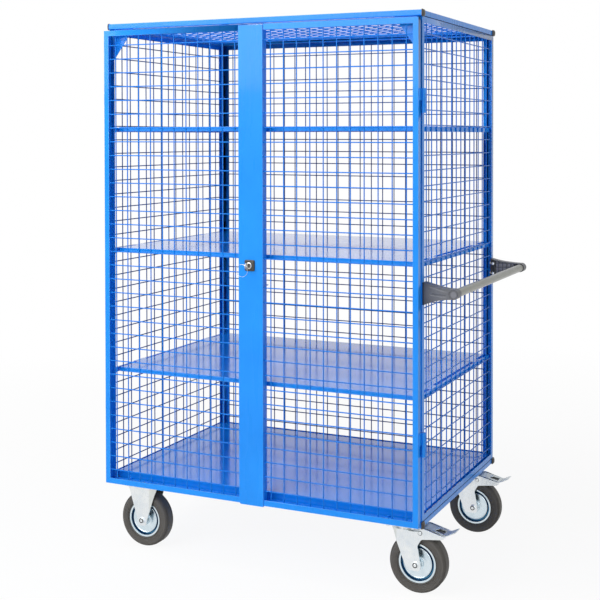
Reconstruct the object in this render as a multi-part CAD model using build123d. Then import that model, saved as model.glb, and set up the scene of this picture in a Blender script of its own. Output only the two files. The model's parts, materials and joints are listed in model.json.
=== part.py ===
from build123d import *
import math
import os

# Mesh cage trolley with double doors, three shelves, a push handle and four casters.
# Millimetres. X runs along the cage from its middle, the handle is at the +X end.
# Y is counted from the door faces towards the back, Z from the floor.

# Cage frame
cage_length = 1230.0
cage_depth = 772.0
panel_height = 1651.0
panel_inset = 6.0
tube = 20.0
tube_wall = 2.0
tube_round = 3.0
angle = 20.0
angle_wall = 3.0
back_gap = 0.5
gusset_length = 100.0
gusset_height = 130.0
gusset_sheet = 3.0
plug_overhang = 1.8
plug_flange = 3.0
plug_dome = 5.0
plug_stem = 14.0
plug_fit = 0.1

# Welded wire mesh
wire = 4.0
pitch = 50.0
wire_lap = 4.0
panel_first_row = 47.0
side_first_column = 61.0

# Deck, shelves and shelf rails
deck_rise = 20.0
deck_sheet = 2.0
deck_clearance = 1.5
deck_set_back = 20.0
deck_apron = 4.0
shelf_bottom_rise = 409.0
shelf_middle_rise = 850.0
shelf_top_rise = 1294.0
shelf_sheet = 1.5
shelf_lip = 16.0
shelf_set_back = 12.0
shelf_end_gap = 12.0
shelf_hook_width = 60.0
shelf_hook_inset = 140.0
shelf_hook_gap = 1.0
rail_width = 9.0
rail_height = 17.0
rail_sheet = 2.0
rail_gusset = 22.0

# Doors
door_gap = 14.0
door_below_base_top = 11.0
door_top_gap = 7.0
stop_sheet = 3.0
stop_gap = 1.0
stop_lap = 2.0
meeting_edge = 22.0
cover_left = 50.0
cover_right = 45.0
cover_gap = 1.0
cover_sheet = 2.0
cover_fold = 28.0
cover_return = 22.0
cover_drop = 3.0
cover_top_gap = 2.0
cover_corner = 6.0
door_first_row = 51.0
left_first_column = 48.0
right_first_column = 25.0

# Lift-off hinges
hinge_end = 268.0
knuckle_radius = 7.0
knuckle_length = 40.0
knuckle_stand = 0.3
knuckle_cap = 5.0
knuckle_split = 0.3
hinge_pin_radius = 3.5
leaf_sheet = 3.0
leaf_reach = 16.0
running_fit = 0.05

# Lock and locking rods
lock_x = -5.0
lock_rise = 816.0
escutcheon = 38.0
escutcheon_thick = 6.0
escutcheon_round = 5.0
collar_radius = 11.5
collar_length = 4.0
barrel_radius = 10.0
barrel_back = 29.0
lock_nut_radius = 13.5
lock_nut_thick = 5.0
plug_radius = 6.5
plug_proud = 1.0
cam_gap = 1.0
cam_thick = 4.0
cam_pin_circle = 9.0
cam_pin_radius = 2.5
cam_radius = 25.0
rod_gap = 2.0
rod_width = 10.0
rod_thick = 3.0
rod_end = 8.0
rod_rest_gap = 4.0
rod_slot_play = 0.5
rod_clearance = 0.3
guide_sheet = 3.0
guide_edge = 2.0
guide_from_lock = 70.0
guide_from_end = 60.0
key_sheet = 2.2
key_blade = 7.0
key_shank = 12.0
key_bow_radius = 11.5
key_hole_radius = 3.4
ring_radius = 21.0
ring_wire = 1.8
ring_drop = 0.6
ring_lean = 45.0

# Handle
handle_reach = 113.0
handle_height = 1003.0
handle_tube_radius = 14.0
handle_tube_wall = 1.5
handle_tube_fit = 0.05
boss_radius = 16.5
boss_length = 34.0
boss_cap = 4.0
boss_stand = 19.0
arm_inset = 2.5
arm_base_height = 74.0
arm_base_drop = 5.0
arm_base_depth = 32.0
arm_base_block = 13.0
arm_wall = 3.0
arm_rib = 2.0
arm_rib_pitch = 15.0
arm_side_sweep = 0.55
arm_plan_sweep = 0.5
arm_pad = 4.0
handle_screw_radius = 3.0
handle_screw_head = 5.0
handle_screw_head_thick = 6.0
handle_screw_spread = 38.0
handle_nut = 5.0
handle_nut_thick = 5.0
screw_clearance = 0.2

# Casters
wheel_diameter = 200.0
tyre_width = 50.0
tyre_shoulder = 13.0
tyre_bead = 6.0
rim_seat = 62.0
rim_lip = 66.0
rim_lip_sheet = 4.5
rim_half_width = 21.5
rim_groove_outer = 59.0
rim_groove_inner = 51.0
rim_groove_depth = 13.0
rim_disc_depth = 4.5
rim_lip_round = 1.0
rim_draft = 2.0
hub_draft = 3.0
hub_radius = 19.0
hub_length = 60.0
wheel_fit = 0.05
axle_radius = 6.0
axle_head = 9.5
axle_head_thick = 7.0
fork_gap = 64.0
fork_sheet = 4.0
crown_clearance = 6.0
race_height = 16.0
race_radius = 30.0
race_split = 0.2
king_pin_radius = 6.0
king_pin_head = 11.0
king_pin_head_thick = 7.0
plate_end_edge = 23.5
plate_side_edge = 9.0
plate_thick = 4.0
plate_round = 10.0
caster_front = 52.0
caster_rear = 122.0
swivel_x = 536.0
fixed_x = 492.0
caster_offset = 50.0
crown_nose = 41.0
leg_front = 40.0
leg_rear = 18.0
leg_end = 20.0
leg_crease = 17.0
leg_taper = 5.0
leg_waist = 63.0
leg_waist_in = 12.0
leg_front_low = 2.0
leg_front_cut = 11.0
leg_rear_cut = 6.0
foot_round = 10.0
throat_round = 12.0
crown_lip_run = 7.0
crown_lip_drop = 8.0
arm_root = 10.0
arm_root_out = 2.0
arm_tip_cut = 11.0
arm_tip_drop = 3.0
arm_bottom = 86.0
arm_reach = 104.0
arm_rise = 9.0
arm_top_rise = 12.0
arm_shoulder = 30.0
fixed_leg_top = 60.0
fixed_leg_fold = 7.0
fixed_fold_x = 30.0
fixed_foot_cut = 6.0
fixed_foot_round = 6.5
bolt_span_x = 88.0
bolt_span_y = 92.0
bolt_radius = 4.0
bolt_head = 6.5
bolt_head_thick = 5.3
bolt_clearance = 0.2
channel_sheet = 4.0
channel_height = 14.0
channel_edge = 5.0

# Foot brake
pedal_pivot_x = 16.0
pedal_pivot_drop = 3.0
pedal_pin_radius = 4.0
pedal_pin_head = 6.0
pedal_pin_head_thick = 2.0
pedal_ear = 6.0
pedal_clearance = 1.5
pedal_sheet = 2.5
pedal_width = 50.0
pedal_start_rise = 14.0
pedal_toe_x = 102.0
pedal_toe_drop = 3.5
pedal_tip_x = 134.0
pedal_tip_rise = 11.0
pedal_tip_width = 44.0
pedal_window_width = 34.0
pedal_window_edge = 10.0
pedal_tip_lean = 1.0
brake_travel = 12.0
brake_contact_angle = 58.0
brake_gap = 0.6
brake_shoe_width = 24.0

# Places that follow from the sizes above
half = cage_length / 2
axle_z = wheel_diameter / 2
fork_half = fork_gap / 2 + fork_sheet
crown_top = wheel_diameter + crown_clearance + fork_sheet
plate_bottom = crown_top + race_height
plate_length = bolt_span_x + 2 * plate_end_edge
plate_width = bolt_span_y + 2 * plate_side_edge
base_bottom = plate_bottom + plate_thick
base_top = base_bottom + tube
roof_bottom = base_top + panel_height
panel_front = angle + door_gap
panel_rear = panel_front + cage_depth
frame_front = panel_front - panel_inset
frame_rear = panel_rear + panel_inset
panel_mid_z = base_top + panel_height / 2
mesh_inside = angle_wall + 2 * wire
door_bottom = base_top - door_below_base_top
door_top = roof_bottom - door_top_gap
door_height = door_top - door_bottom
hinge_x = half + knuckle_stand + knuckle_radius
hinge_y = angle + door_gap / 2
hinge_levels = (door_bottom + hinge_end, door_top - hinge_end)
cover_front = -cover_gap - cover_sheet
cover_back = cover_front + cover_fold
lock_z = base_top + lock_rise
cam_front = barrel_back + cam_gap
rod_front = cam_front + cam_thick + rod_gap
rod_back = rod_front + rod_thick
cam_pin_in = cam_pin_circle * math.cos(math.radians(45))
rod_x = (cam_pin_circle + cam_pin_in) / 2
plug_front = cover_front - escutcheon_thick - collar_length - plug_proud
bow_y = plug_front - key_shank
hole_y = bow_y - key_bow_radius / 2
handle_x = half + handle_reach
arm_outer = panel_front + arm_inset
boss_front = arm_outer - boss_stand
handle_mid_y = (panel_front + panel_rear) / 2
boss_rear = 2 * handle_mid_y - boss_front
caster_ys = {"front": panel_front + caster_front, "rear": panel_rear - caster_rear}
pivot_z = crown_top - pedal_pivot_drop

# The part's own frame: floor level, middle of the overall length and depth
mid_x = (handle_x + boss_radius - hinge_x - knuckle_radius) / 2
mid_y = (bow_y - key_bow_radius + boss_rear) / 2


def save(name, *shapes):
    """Write one piece, or a group of identical pieces, in the part's own frame."""
    solids = [solid for shape in shapes for solid in shape.solids()]
    group = solids[0] if len(solids) == 1 else Compound(solids)
    export_step(group.moved(Location((-mid_x, -mid_y, 0))), f"parts/{name}.step")


def polygon(points):
    return make_face(Polyline(*points, close=True))


def across_x(sketch, low, high):
    """Extrude a (Y, Z) sketch from X = low to X = high."""
    return extrude(Plane.YZ.offset(low) * sketch, high - low)


def across_y(sketch, low, high):
    """Extrude an (X, Z) sketch from Y = low to Y = high."""
    return extrude(Plane.XZ.offset(-high) * sketch, high - low)


def across_z(sketch, low, high):
    """Extrude an (X, Y) sketch from Z = low to Z = high."""
    return extrude(Plane.XY.offset(low) * sketch, high - low)


def block(x_range, y_range, z_range):
    sides = [high - low for low, high in (x_range, y_range, z_range)]
    middle = [(high + low) / 2 for low, high in (x_range, y_range, z_range)]
    return Pos(*middle) * Box(*sides)


def rod_y(radius, low, high):
    """Round bar along Y on the origin's axis."""
    return across_y(Circle(radius), low, high)


def other_end(shape):
    """The same piece at the opposite end of the cage."""
    return mirror(shape, Plane.YZ)


def square_tube(length):
    section = Rectangle(tube, tube)
    section = fillet(section.vertices(), tube_round)
    section -= Rectangle(tube - 2 * tube_wall, tube - 2 * tube_wall)
    return across_x(section, -length / 2, length / 2)


def tube_frame(bottom):
    """Long front and rear tubes with the two side tubes between them."""
    z = bottom + tube / 2
    side_length = frame_rear - frame_front - 2 * tube
    side = Rot(0, 0, 90) * square_tube(side_length)
    front = Pos(0, frame_front + tube / 2, z) * square_tube(cage_length)
    rear = Pos(0, frame_rear - tube / 2, z) * square_tube(cage_length)
    right = Pos(half - tube / 2, (frame_front + frame_rear) / 2, z) * side
    return front, rear, right, other_end(right)


def end_plug():
    """Domed plug for an open tube end, its flange against X = 0."""
    over = tube + 2 * plug_overhang
    inner = tube - 2 * tube_wall - 2 * plug_fit
    flange = Rectangle(over, over)
    flange = fillet(flange.vertices(), tube_round + plug_overhang)
    plug = across_x(flange, 0, plug_flange)
    plug += extrude(Plane.YZ.offset(plug_flange) * flange, plug_dome, taper=40)
    return plug + across_x(Rectangle(inner, inner), -plug_stem, 0)


def angle_bar(length, left_mitre=True, right_mitre=True):
    """Angle iron along X: outer edge on Y = 0, face on Z = 0, mitred or square ends."""

    def strip(width, depth):
        left = width if left_mitre else 0
        right = width if right_mitre else 0
        top = [(length / 2 - right, width), (-length / 2 + left, width)]
        return extrude(polygon([(-length / 2, 0), (length / 2, 0), *top]), depth)

    return strip(angle, angle_wall) + strip(angle_wall, angle)


def angle_frame(width, height):
    """Four mitred bars round a panel, face on Z = 0, legs towards +Z."""
    flat = angle_bar(width)
    upright = angle_bar(height)
    return [
        Pos(0, -height / 2, 0) * flat,
        Pos(width / 2, 0, 0) * Rot(0, 0, 90) * upright,
        Pos(0, height / 2, 0) * Rot(0, 0, 180) * flat,
        Pos(-width / 2, 0, 0) * Rot(0, 0, -90) * upright,
    ]


def wire_bar(length, along_x):
    """Mesh wire from the origin, with flats where the layers are welded together."""
    section = RegularPolygon(wire / 2, 6, major_radius=False)
    if along_x:
        return extrude(Plane((0, 0, 0), x_dir=(0, 1, 0), z_dir=(1, 0, 0)) * section, length)
    return extrude(Plane((0, 0, 0), x_dir=(1, 0, 0), z_dir=(0, 1, 0)) * section, length)


def steps(first, last):
    """Places one mesh pitch apart, from first up to last."""
    return [first + i * pitch for i in range(int((last - first) // pitch) + 1)]


def centred(span):
    """Places one mesh pitch apart that lie evenly within a span about zero."""
    count = int(span // pitch)
    return [(i - count / 2) * pitch for i in range(count + 1)]


def mesh(columns, rows, x_range, y_range, depth):
    """Welded mesh: rows along X lie nearest the face, columns along Y behind them."""
    row = wire_bar(x_range[1] - x_range[0], True)
    column = wire_bar(y_range[1] - y_range[0], False)
    wires = [Pos(x_range[0], y, depth + wire / 2) * row for y in rows]
    wires += [Pos(x, y_range[0], depth + 1.5 * wire) * column for x in columns]
    return wires


def panel_mesh(width, height, columns, first_row):
    """Mesh for a framed panel that is centred on the origin."""
    free_x = width / 2 - angle + wire_lap
    free_y = height / 2 - angle + wire_lap
    rows = steps(-height / 2 + first_row, height / 2 - angle - wire)
    return mesh(columns, rows, (-free_x, free_x), (-free_y, free_y), angle_wall)


def on_plane(plane, shapes):
    return [shape.moved(plane.location) for shape in shapes]


# Outer face planes of the panels and doors, with their own Y along the trolley's Z
right_plane = Plane((half, handle_mid_y, panel_mid_z), x_dir=(0, -1, 0), z_dir=(-1, 0, 0))
back_plane = Plane((0, panel_rear, panel_mid_z), x_dir=(1, 0, 0), z_dir=(0, -1, 0))
door_mid_z = (door_bottom + door_top) / 2


def door_plane(middle):
    return Plane((middle, 0, door_mid_z), x_dir=(-1, 0, 0), z_dir=(0, 1, 0))


def handle_screw_places():
    """(Y, Z) of the four screws that hold the handle arms to the end posts."""
    near = panel_front + angle / 2
    middle = handle_height - arm_base_drop
    heights = (middle - handle_screw_spread / 2, middle + handle_screw_spread / 2)
    return [(y, z) for y in (near, 2 * handle_mid_y - near) for z in heights]


def bar_x(radius, place, low, high):
    """Round bar along X through a (Y, Z) place."""
    return across_x(Pos(*place) * Circle(radius), low, high)


# Base and roof frames; the front tubes have slots for the tips of the locking rods
def rod_slot(x, z):
    wide = rod_width / 2 + rod_clearance
    y_range = (rod_front - rod_clearance, rod_back + rod_clearance)
    return block((x - wide, x + wide), y_range, (z - tube_wall, z + tube_wall))


def base_tubes():
    front, rear, right, left = tube_frame(base_bottom)
    front -= rod_slot(lock_x - rod_x, base_top)
    for x, y in bolt_places(swivel_x) + bolt_places(-fixed_x):
        if under_tube(y):
            front -= bolt_hole(x, y)
    return front, rear, right, left


def roof_tubes():
    front, rear, right, left = tube_frame(roof_bottom)
    return front - rod_slot(lock_x + rod_x, roof_bottom), rear, right, left


def plugs():
    ys = (frame_front + tube / 2, frame_rear - tube / 2)
    zs = (base_bottom + tube / 2, roof_bottom + tube / 2)
    right = [Pos(half, y, z) * end_plug() for y in ys for z in zs]
    return right + [other_end(plug) for plug in right]


def roof_mesh():
    """Mesh between the roof tubes, its wire ends against their inner faces."""
    inside_x = half - tube
    inside_y = (frame_rear - frame_front) / 2 - tube
    plane = Plane((0, (frame_front + frame_rear) / 2, roof_bottom + tube / 2 - wire))
    columns = centred(2 * inside_x - 2 * wire)
    rows = centred(2 * inside_y - 2 * wire)
    wires = mesh(columns, rows, (-inside_x, inside_x), (-inside_y, inside_y), 0)
    return on_plane(plane, wires)


# Panels
def door_stop():
    """Strip welded to the front of the right-hand post, just inside the leg of the closed door."""
    outer = half - angle_wall - stop_gap
    high = door_top - angle_wall - stop_gap
    return block((outer - stop_sheet, outer), (angle - stop_lap, panel_front), (base_top, high))


def side_frame():
    return on_plane(right_plane, angle_frame(cage_depth, panel_height)) + [door_stop()]


def side_mesh():
    last = cage_depth / 2 - angle - wire
    columns = [-u for u in steps(-cage_depth / 2 + side_first_column, last)]
    return on_plane(right_plane, panel_mesh(cage_depth, panel_height, columns, panel_first_row))


def handle_side_frame():
    """Right-hand frame, drilled for the handle screws."""
    holes = [
        bar_x(handle_screw_radius + screw_clearance, place, half - angle, half)
        for place in handle_screw_places()
    ]
    bars = side_frame()
    drilled = []
    for bar in bars:
        for hole in holes:
            bar = bar - hole
        drilled.append(bar)
    return drilled


back_width = cage_length - 2 * (angle + back_gap)


def back_frame():
    return on_plane(back_plane, angle_frame(back_width, panel_height))


def back_mesh():
    columns = centred(back_width - 2 * angle)
    return on_plane(back_plane, panel_mesh(back_width, panel_height, columns, panel_first_row))


def gusset():
    """Triangular plate behind the front post, up against the roof tube."""
    outer = half - angle_wall
    corner = [
        (outer, roof_bottom - gusset_height),
        (outer, roof_bottom - angle_wall),
        (half - angle, roof_bottom - angle_wall),
        (half - angle, roof_bottom),
        (half - gusset_length, roof_bottom),
    ]
    front = panel_front + angle_wall
    return across_y(polygon(corner), front, front + gusset_sheet)


# Deck and shelves: folded trays, open underneath
def tray(half_length, y_range, top, height, sheet):
    outer = block((-half_length, half_length), y_range, (top - height, top))
    inner_y = (y_range[0] + sheet, y_range[1] - sheet)
    inner_x = (sheet - half_length, half_length - sheet)
    return outer - block(inner_x, inner_y, (top - height, top - sheet))


def deck():
    """Tray on the panel frames, its front lip drawn down behind the front base tube."""
    end = half - mesh_inside - deck_clearance
    y_range = (panel_front + deck_set_back, panel_rear - angle - deck_clearance)
    top = base_top + deck_rise
    body = tray(end, y_range, top, deck_rise - angle_wall, deck_sheet)
    apron_end = half - angle - deck_clearance
    apron_y = (y_range[0], y_range[0] + deck_sheet)
    apron_z = (base_top - deck_apron, top - deck_sheet)
    return body + block((-apron_end, apron_end), apron_y, apron_z)


rail_outer = half - mesh_inside
rail_inner = rail_outer - rail_width


def shelf(rise):
    """Sheet shelf with folded lips and four hooks that lie on the rails."""
    end = rail_inner - shelf_end_gap
    y_range = (panel_front + shelf_set_back, panel_rear - mesh_inside - deck_clearance)
    top = base_top + rise
    body = tray(end, y_range, top, shelf_lip, shelf_sheet)
    hooks = []
    for y in (y_range[0] + shelf_hook_inset, y_range[1] - shelf_hook_inset):
        y_hook = (y - shelf_hook_width / 2, y + shelf_hook_width / 2)
        hook = block((end - shelf_sheet, rail_outer - shelf_hook_gap), y_hook, (top - shelf_sheet, top))
        hooks += [hook, other_end(hook)]
    return body + hooks


def shelf_rail(rise):
    """Channel along Y with a small corner gusset under each end."""
    top = base_top + rise - shelf_sheet
    low = top - rail_height
    front = panel_front + angle_wall
    rear = panel_rear - angle_wall
    core_x = (rail_inner + rail_sheet, rail_outer - rail_sheet)
    rail = block((rail_inner, rail_outer), (front, rear), (low, top))
    rail -= block(core_x, (front, rear), (low, top - rail_sheet))
    web = polygon([(rail_inner, low), (rail_outer, low), (rail_outer, low - rail_gusset)])
    rail += across_y(web, front, front + rail_sheet)
    return rail + across_y(web, rear - rail_sheet, rear)


# Doors
left_width = half - meeting_edge
right_width = half - cover_right


def left_door_frame():
    return on_plane(door_plane(-(half + meeting_edge) / 2), angle_frame(left_width, door_height))


def left_door_mesh():
    columns = steps(-left_width / 2 + left_first_column, left_width / 2 - angle - wire)
    wires = panel_mesh(left_width, door_height, columns, door_first_row)
    return on_plane(door_plane(-(half + meeting_edge) / 2), wires)


def right_door_frame():
    """Three bars: both rails run square into the fold of the cover plate."""
    rail = angle_bar(right_width, right_mitre=False)
    top_rail = angle_bar(right_width, left_mitre=False)
    stile = angle_bar(door_height)
    bars = [
        Pos(0, -door_height / 2, 0) * rail,
        Pos(-right_width / 2, 0, 0) * Rot(0, 0, -90) * stile,
        Pos(0, door_height / 2, 0) * Rot(0, 0, 180) * top_rail,
    ]
    return on_plane(door_plane((half + cover_right) / 2), bars)


def right_door_mesh():
    """Rows are welded to the fold of the cover plate at one end."""
    end = right_width / 2
    free_y = door_height / 2 - angle + wire_lap
    columns = [-x for x in steps(-end + right_first_column, end - angle - wire)]
    rows = steps(-door_height / 2 + door_first_row, door_height / 2 - angle - wire)
    x_range = (-end + angle - wire_lap, end)
    wires = mesh(columns, rows, x_range, (-free_y, free_y), angle_wall)
    return on_plane(door_plane((half + cover_right) / 2), wires)


def rod_guide(x, z):
    """Tab welded behind the return flange, with a window that a locking rod slides in."""
    wide = rod_width / 2 + rod_clearance
    y_window = (rod_front - rod_clearance, rod_back + rod_clearance)
    z_range = (z - guide_sheet / 2, z + guide_sheet / 2)
    tab = block(
        (x - wide - guide_edge, cover_right - cover_sheet),
        (cover_back, y_window[1] + guide_edge),
        z_range,
    )
    return tab - block((x - wide, x + wide), y_window, z_range)


def cover_plate():
    """Tall folded plate on the meeting edge of the right door."""
    inner = cover_right - cover_sheet
    flange = cover_right - cover_return
    section = [
        (-cover_left, cover_front),
        (cover_right, cover_front),
        (cover_right, cover_back),
        (flange, cover_back),
        (flange, cover_back - cover_sheet),
        (inner, cover_back - cover_sheet),
        (inner, cover_front + cover_sheet),
        (-cover_left, cover_front + cover_sheet),
    ]
    low = door_bottom - cover_drop
    high = door_top - cover_top_gap
    plate = across_z(polygon(section), low, high)
    snip_x = cover_corner - cover_left
    snip = polygon([(-cover_left, low), (snip_x, low), (-cover_left, low + cover_corner)])
    plate -= across_y(snip, cover_front, cover_front + cover_sheet)
    hole = rod_y(barrel_radius + running_fit, cover_front, cover_front + cover_sheet)
    plate -= Pos(lock_x, 0, lock_z) * hole
    up = lock_x + rod_x
    down = lock_x - rod_x
    plate += rod_guide(up, lock_z + guide_from_lock)
    plate += rod_guide(up, roof_bottom - guide_from_end)
    plate += rod_guide(down, lock_z - guide_from_lock)
    return plate + rod_guide(down, base_top + guide_from_end)


# Hinges
def door_knuckle(z):
    """Upper half of a lift-off hinge: blind barrel with a leaf on the door's edge."""
    low = z + knuckle_split / 2
    high = z + knuckle_length
    axis = Pos(hinge_x, hinge_y)
    half_hinge = across_z(axis * Circle(knuckle_radius), low, high)
    half_hinge += block((half, half + leaf_sheet), (angle - leaf_reach, hinge_y), (low, high))
    bore = across_z(axis * Circle(hinge_pin_radius + running_fit), low, high - knuckle_cap)
    return half_hinge - bore


def post_knuckle(z):
    """Lower half of a lift-off hinge: barrel, pin and a leaf on the end post."""
    low = z - knuckle_length
    high = z - knuckle_split / 2
    axis = Pos(hinge_x, hinge_y)
    half_hinge = across_z(axis * Circle(knuckle_radius), low, high)
    half_hinge += block((half, half + leaf_sheet), (hinge_y, panel_front + leaf_reach), (low, high))
    pin_top = z + knuckle_length - knuckle_cap - knuckle_split
    return half_hinge + across_z(axis * Circle(hinge_pin_radius), low, pin_top)


# Lock
def lock_housing():
    """Square escutcheon and collar in front of the cover plate, threaded barrel and nut behind."""
    face = Rectangle(escutcheon, escutcheon)
    face = fillet(face.vertices(), escutcheon_round)
    front = cover_front - escutcheon_thick
    plate_back = cover_front + cover_sheet
    housing = across_y(face, front, cover_front)
    housing += rod_y(collar_radius, front - collar_length, front)
    housing += rod_y(barrel_radius, cover_front, barrel_back)
    nut = RegularPolygon(lock_nut_radius, 6)
    housing += across_y(nut, plate_back, plate_back + lock_nut_thick)
    housing -= rod_y(plug_radius + running_fit, front - collar_length, barrel_back)
    return Pos(lock_x, 0, lock_z) * housing


def lock_cam():
    """Turning plug with a keyway and, at its back, the cam whose two pins move the rods."""
    plug = rod_y(plug_radius, plug_front, cam_front)
    plug += across_y(Circle(cam_radius), cam_front, cam_front + cam_thick)
    pins = Pos(cam_pin_in, -cam_pin_in) * Circle(cam_pin_radius)
    pins += Pos(-cam_pin_in, cam_pin_in) * Circle(cam_pin_radius)
    plug += across_y(pins, cam_front + cam_thick, rod_back)
    slot = Rectangle(key_sheet + 2 * rod_clearance, key_blade + 2 * rod_clearance)
    plug -= across_y(slot, plug_front, cover_front + rod_clearance)
    return Pos(lock_x, 0, lock_z) * plug


def key():
    """Flat key with a round pierced bow, its blade in the plug's keyway."""
    blade = polygon(
        [
            (cover_front, -key_blade / 2),
            (cover_front, key_blade / 2),
            (bow_y, key_blade / 2),
            (bow_y, -key_blade / 2),
        ]
    )
    outline = blade + Pos(bow_y, 0) * Circle(key_bow_radius)
    outline -= Pos(hole_y, 0) * Circle(key_hole_radius)
    return Pos(lock_x, 0, lock_z) * across_x(outline, -key_sheet / 2, key_sheet / 2)


def key_ring():
    """Split ring through the key's bow, leaning away to the left."""
    section = Pos(ring_radius, 0) * Rectangle(ring_wire, ring_wire)
    lean = math.radians(ring_lean)
    x = lock_x - ring_radius * math.sin(lean)
    z = lock_z - ring_drop - ring_radius * math.cos(lean)
    return Pos(x, hole_y, z) * revolve(section, Axis.Y)


def lock_rod(x, pin_z, low, high):
    """Flat rod with a cross slot for its cam pin."""
    bar = block((x - rod_width / 2, x + rod_width / 2), (rod_front, rod_back), (low, high))
    reach = (cam_pin_circle - cam_pin_in) / 2 + cam_pin_radius + rod_slot_play
    tall = cam_pin_radius + rod_slot_play
    return bar - block((x - reach, x + reach), (rod_front, rod_back), (pin_z - tall, pin_z + tall))


# Handle
arm_start = half + arm_pad


def arm_side(inset):
    """Side view of a handle arm (X, Z): flared base, drawn in towards the boss."""
    middle = handle_height - arm_base_drop
    base = arm_base_height / 2 - inset
    tip = boss_radius - inset
    bend = arm_start + (handle_x - arm_start) * arm_side_sweep
    floor = handle_height - tip
    ceiling = handle_height + tip
    low = Bezier((arm_start, middle - base), (bend, floor), (handle_x, floor))
    high = Bezier((arm_start, middle + base), (bend, ceiling), (handle_x, ceiling))
    return make_face([low, Line(low @ 1, high @ 1), high, Line(high @ 0, low @ 0)])


def arm_plan(inset, inner):
    """Top view of the front arm (X, Y): it leans out from the post to the boss."""
    bend = arm_start + (handle_x - arm_start) * arm_plan_sweep
    start = arm_outer + inset
    stop = boss_front + inset
    outside = Bezier((arm_start, start), (bend, start), (bend, stop), (handle_x, stop))
    back_start = arm_outer + arm_base_depth - inner
    back_stop = boss_front + boss_length - inner
    inside = Bezier((arm_start, back_start), (bend, back_start), (bend, back_stop), (handle_x, back_stop))
    ends = [Line(outside @ 1, inside @ 1), Line(inside @ 0, outside @ 0)]
    return make_face([outside, ends[0], inside, ends[1]])


def front_arm():
    """Moulded arm, open towards the other arm, with a lattice of ribs inside."""
    z_range = (handle_height - arm_base_height, handle_height + arm_base_height)
    y_range = (boss_front, arm_outer + arm_base_depth)
    boss_axis = Pos(handle_x, 0, handle_height)
    boss = boss_axis * rod_y(boss_radius, boss_front, boss_front + boss_length)
    arm = across_y(arm_side(0), *y_range) & across_z(arm_plan(0, 0), *z_range)
    hollow = across_y(arm_side(arm_wall), *y_range)
    hollow &= across_z(arm_plan(arm_wall, 0), *z_range)
    hollow &= block((arm_start + arm_base_block, handle_x), y_range, z_range)
    hollow -= boss
    ribs = []
    x = arm_start + arm_base_block + arm_rib_pitch
    while x < handle_x - boss_radius:
        ribs.append(block((x - arm_rib / 2, x + arm_rib / 2), y_range, z_range))
        x += arm_rib_pitch
    for z in (handle_height - arm_rib_pitch, handle_height, handle_height + arm_rib_pitch):
        ribs.append(block((arm_start, handle_x), y_range, (z - arm_rib / 2, z + arm_rib / 2)))
    web = across_z(arm_plan(arm_wall, arm_rib), *z_range) & hollow
    lattice = [rib & web for rib in ribs]
    arm = arm + boss - hollow + lattice
    arm -= boss_axis * rod_y(handle_tube_radius + handle_tube_fit, boss_front + boss_cap, y_range[1])
    seat = arm_start + arm_base_block - handle_screw_head_thick
    for place in handle_screw_places()[:2]:
        arm -= bar_x(handle_screw_radius + screw_clearance, place, arm_start, seat)
        arm -= bar_x(handle_screw_head + screw_clearance, place, seat, arm_start + arm_base_block)
    return arm


def rear_of(shape):
    """The matching piece on the rear handle arm."""
    return mirror(shape, Plane.XZ.offset(-handle_mid_y))


def handle_pad():
    """Plate between the front arm and its post."""
    middle = handle_height - arm_base_drop
    y_range = (arm_outer, arm_outer + arm_base_depth)
    z_range = (middle - arm_base_height / 2, middle + arm_base_height / 2)
    pad = block((half, arm_start), y_range, z_range)
    for place in handle_screw_places()[:2]:
        pad -= bar_x(handle_screw_radius + screw_clearance, place, half, arm_start)
    return pad


def handle_screw(place):
    """Screw with its nut tightened behind the flange of the post."""
    seat = arm_start + arm_base_block - handle_screw_head_thick
    back = half - angle_wall
    screw = bar_x(handle_screw_head, place, seat, seat + handle_screw_head_thick)
    screw += bar_x(handle_screw_radius, place, back - handle_nut_thick, seat)
    nut = Pos(*place) * RegularPolygon(handle_nut, 6, major_radius=False, rotation=30)
    return screw + across_x(nut, back - handle_nut_thick, back)


def handle_tube():
    ring = Circle(handle_tube_radius) - Circle(handle_tube_radius - handle_tube_wall)
    ends = (boss_front + boss_cap, boss_rear - boss_cap)
    return Pos(handle_x, 0, handle_height) * across_y(ring, *ends)


# Wheels, modelled on the origin with their axle along Y
def half_section(points):
    """Face from half a section of (radius, Y) points and its mirror image about Y = 0."""
    return polygon(points + [(radius, -y) for radius, y in reversed(points)])


def tyre():
    """Solid tyre with round shoulders, its bead between the lips of the rim."""
    outer = wheel_diameter / 2
    side = tyre_width / 2
    seat = rim_half_width - rim_lip_sheet - wheel_fit
    bead = rim_lip + wheel_fit
    section = half_section(
        [
            (outer, side),
            (bead + tyre_bead, side),
            (bead, rim_half_width),
            (bead, seat),
            (rim_seat + wheel_fit, seat),
        ]
    )
    shoulders = section.vertices().filter_by(lambda v: v.X > outer - tyre_bead)
    return revolve(fillet(shoulders, tyre_shoulder), Axis.Y)


def rim():
    """Pressed rim: rolled lips, a deep groove, a raised disc and the hub."""
    disc = rim_half_width - rim_disc_depth
    groove = rim_half_width - rim_groove_depth
    section = half_section(
        [
            (rim_seat, rim_half_width - rim_lip_sheet),
            (rim_lip, rim_half_width - rim_lip_sheet),
            (rim_lip, rim_half_width - rim_lip_round),
            (rim_lip - rim_lip_round, rim_half_width),
            (rim_groove_outer + rim_draft, rim_half_width),
            (rim_groove_outer, groove),
            (rim_groove_inner, groove),
            (rim_groove_inner - rim_draft, disc),
            (hub_radius + hub_draft, disc),
            (hub_radius, hub_length / 2),
            (axle_radius + wheel_fit, hub_length / 2),
        ]
    )
    return revolve(section, Axis.Y)


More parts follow.
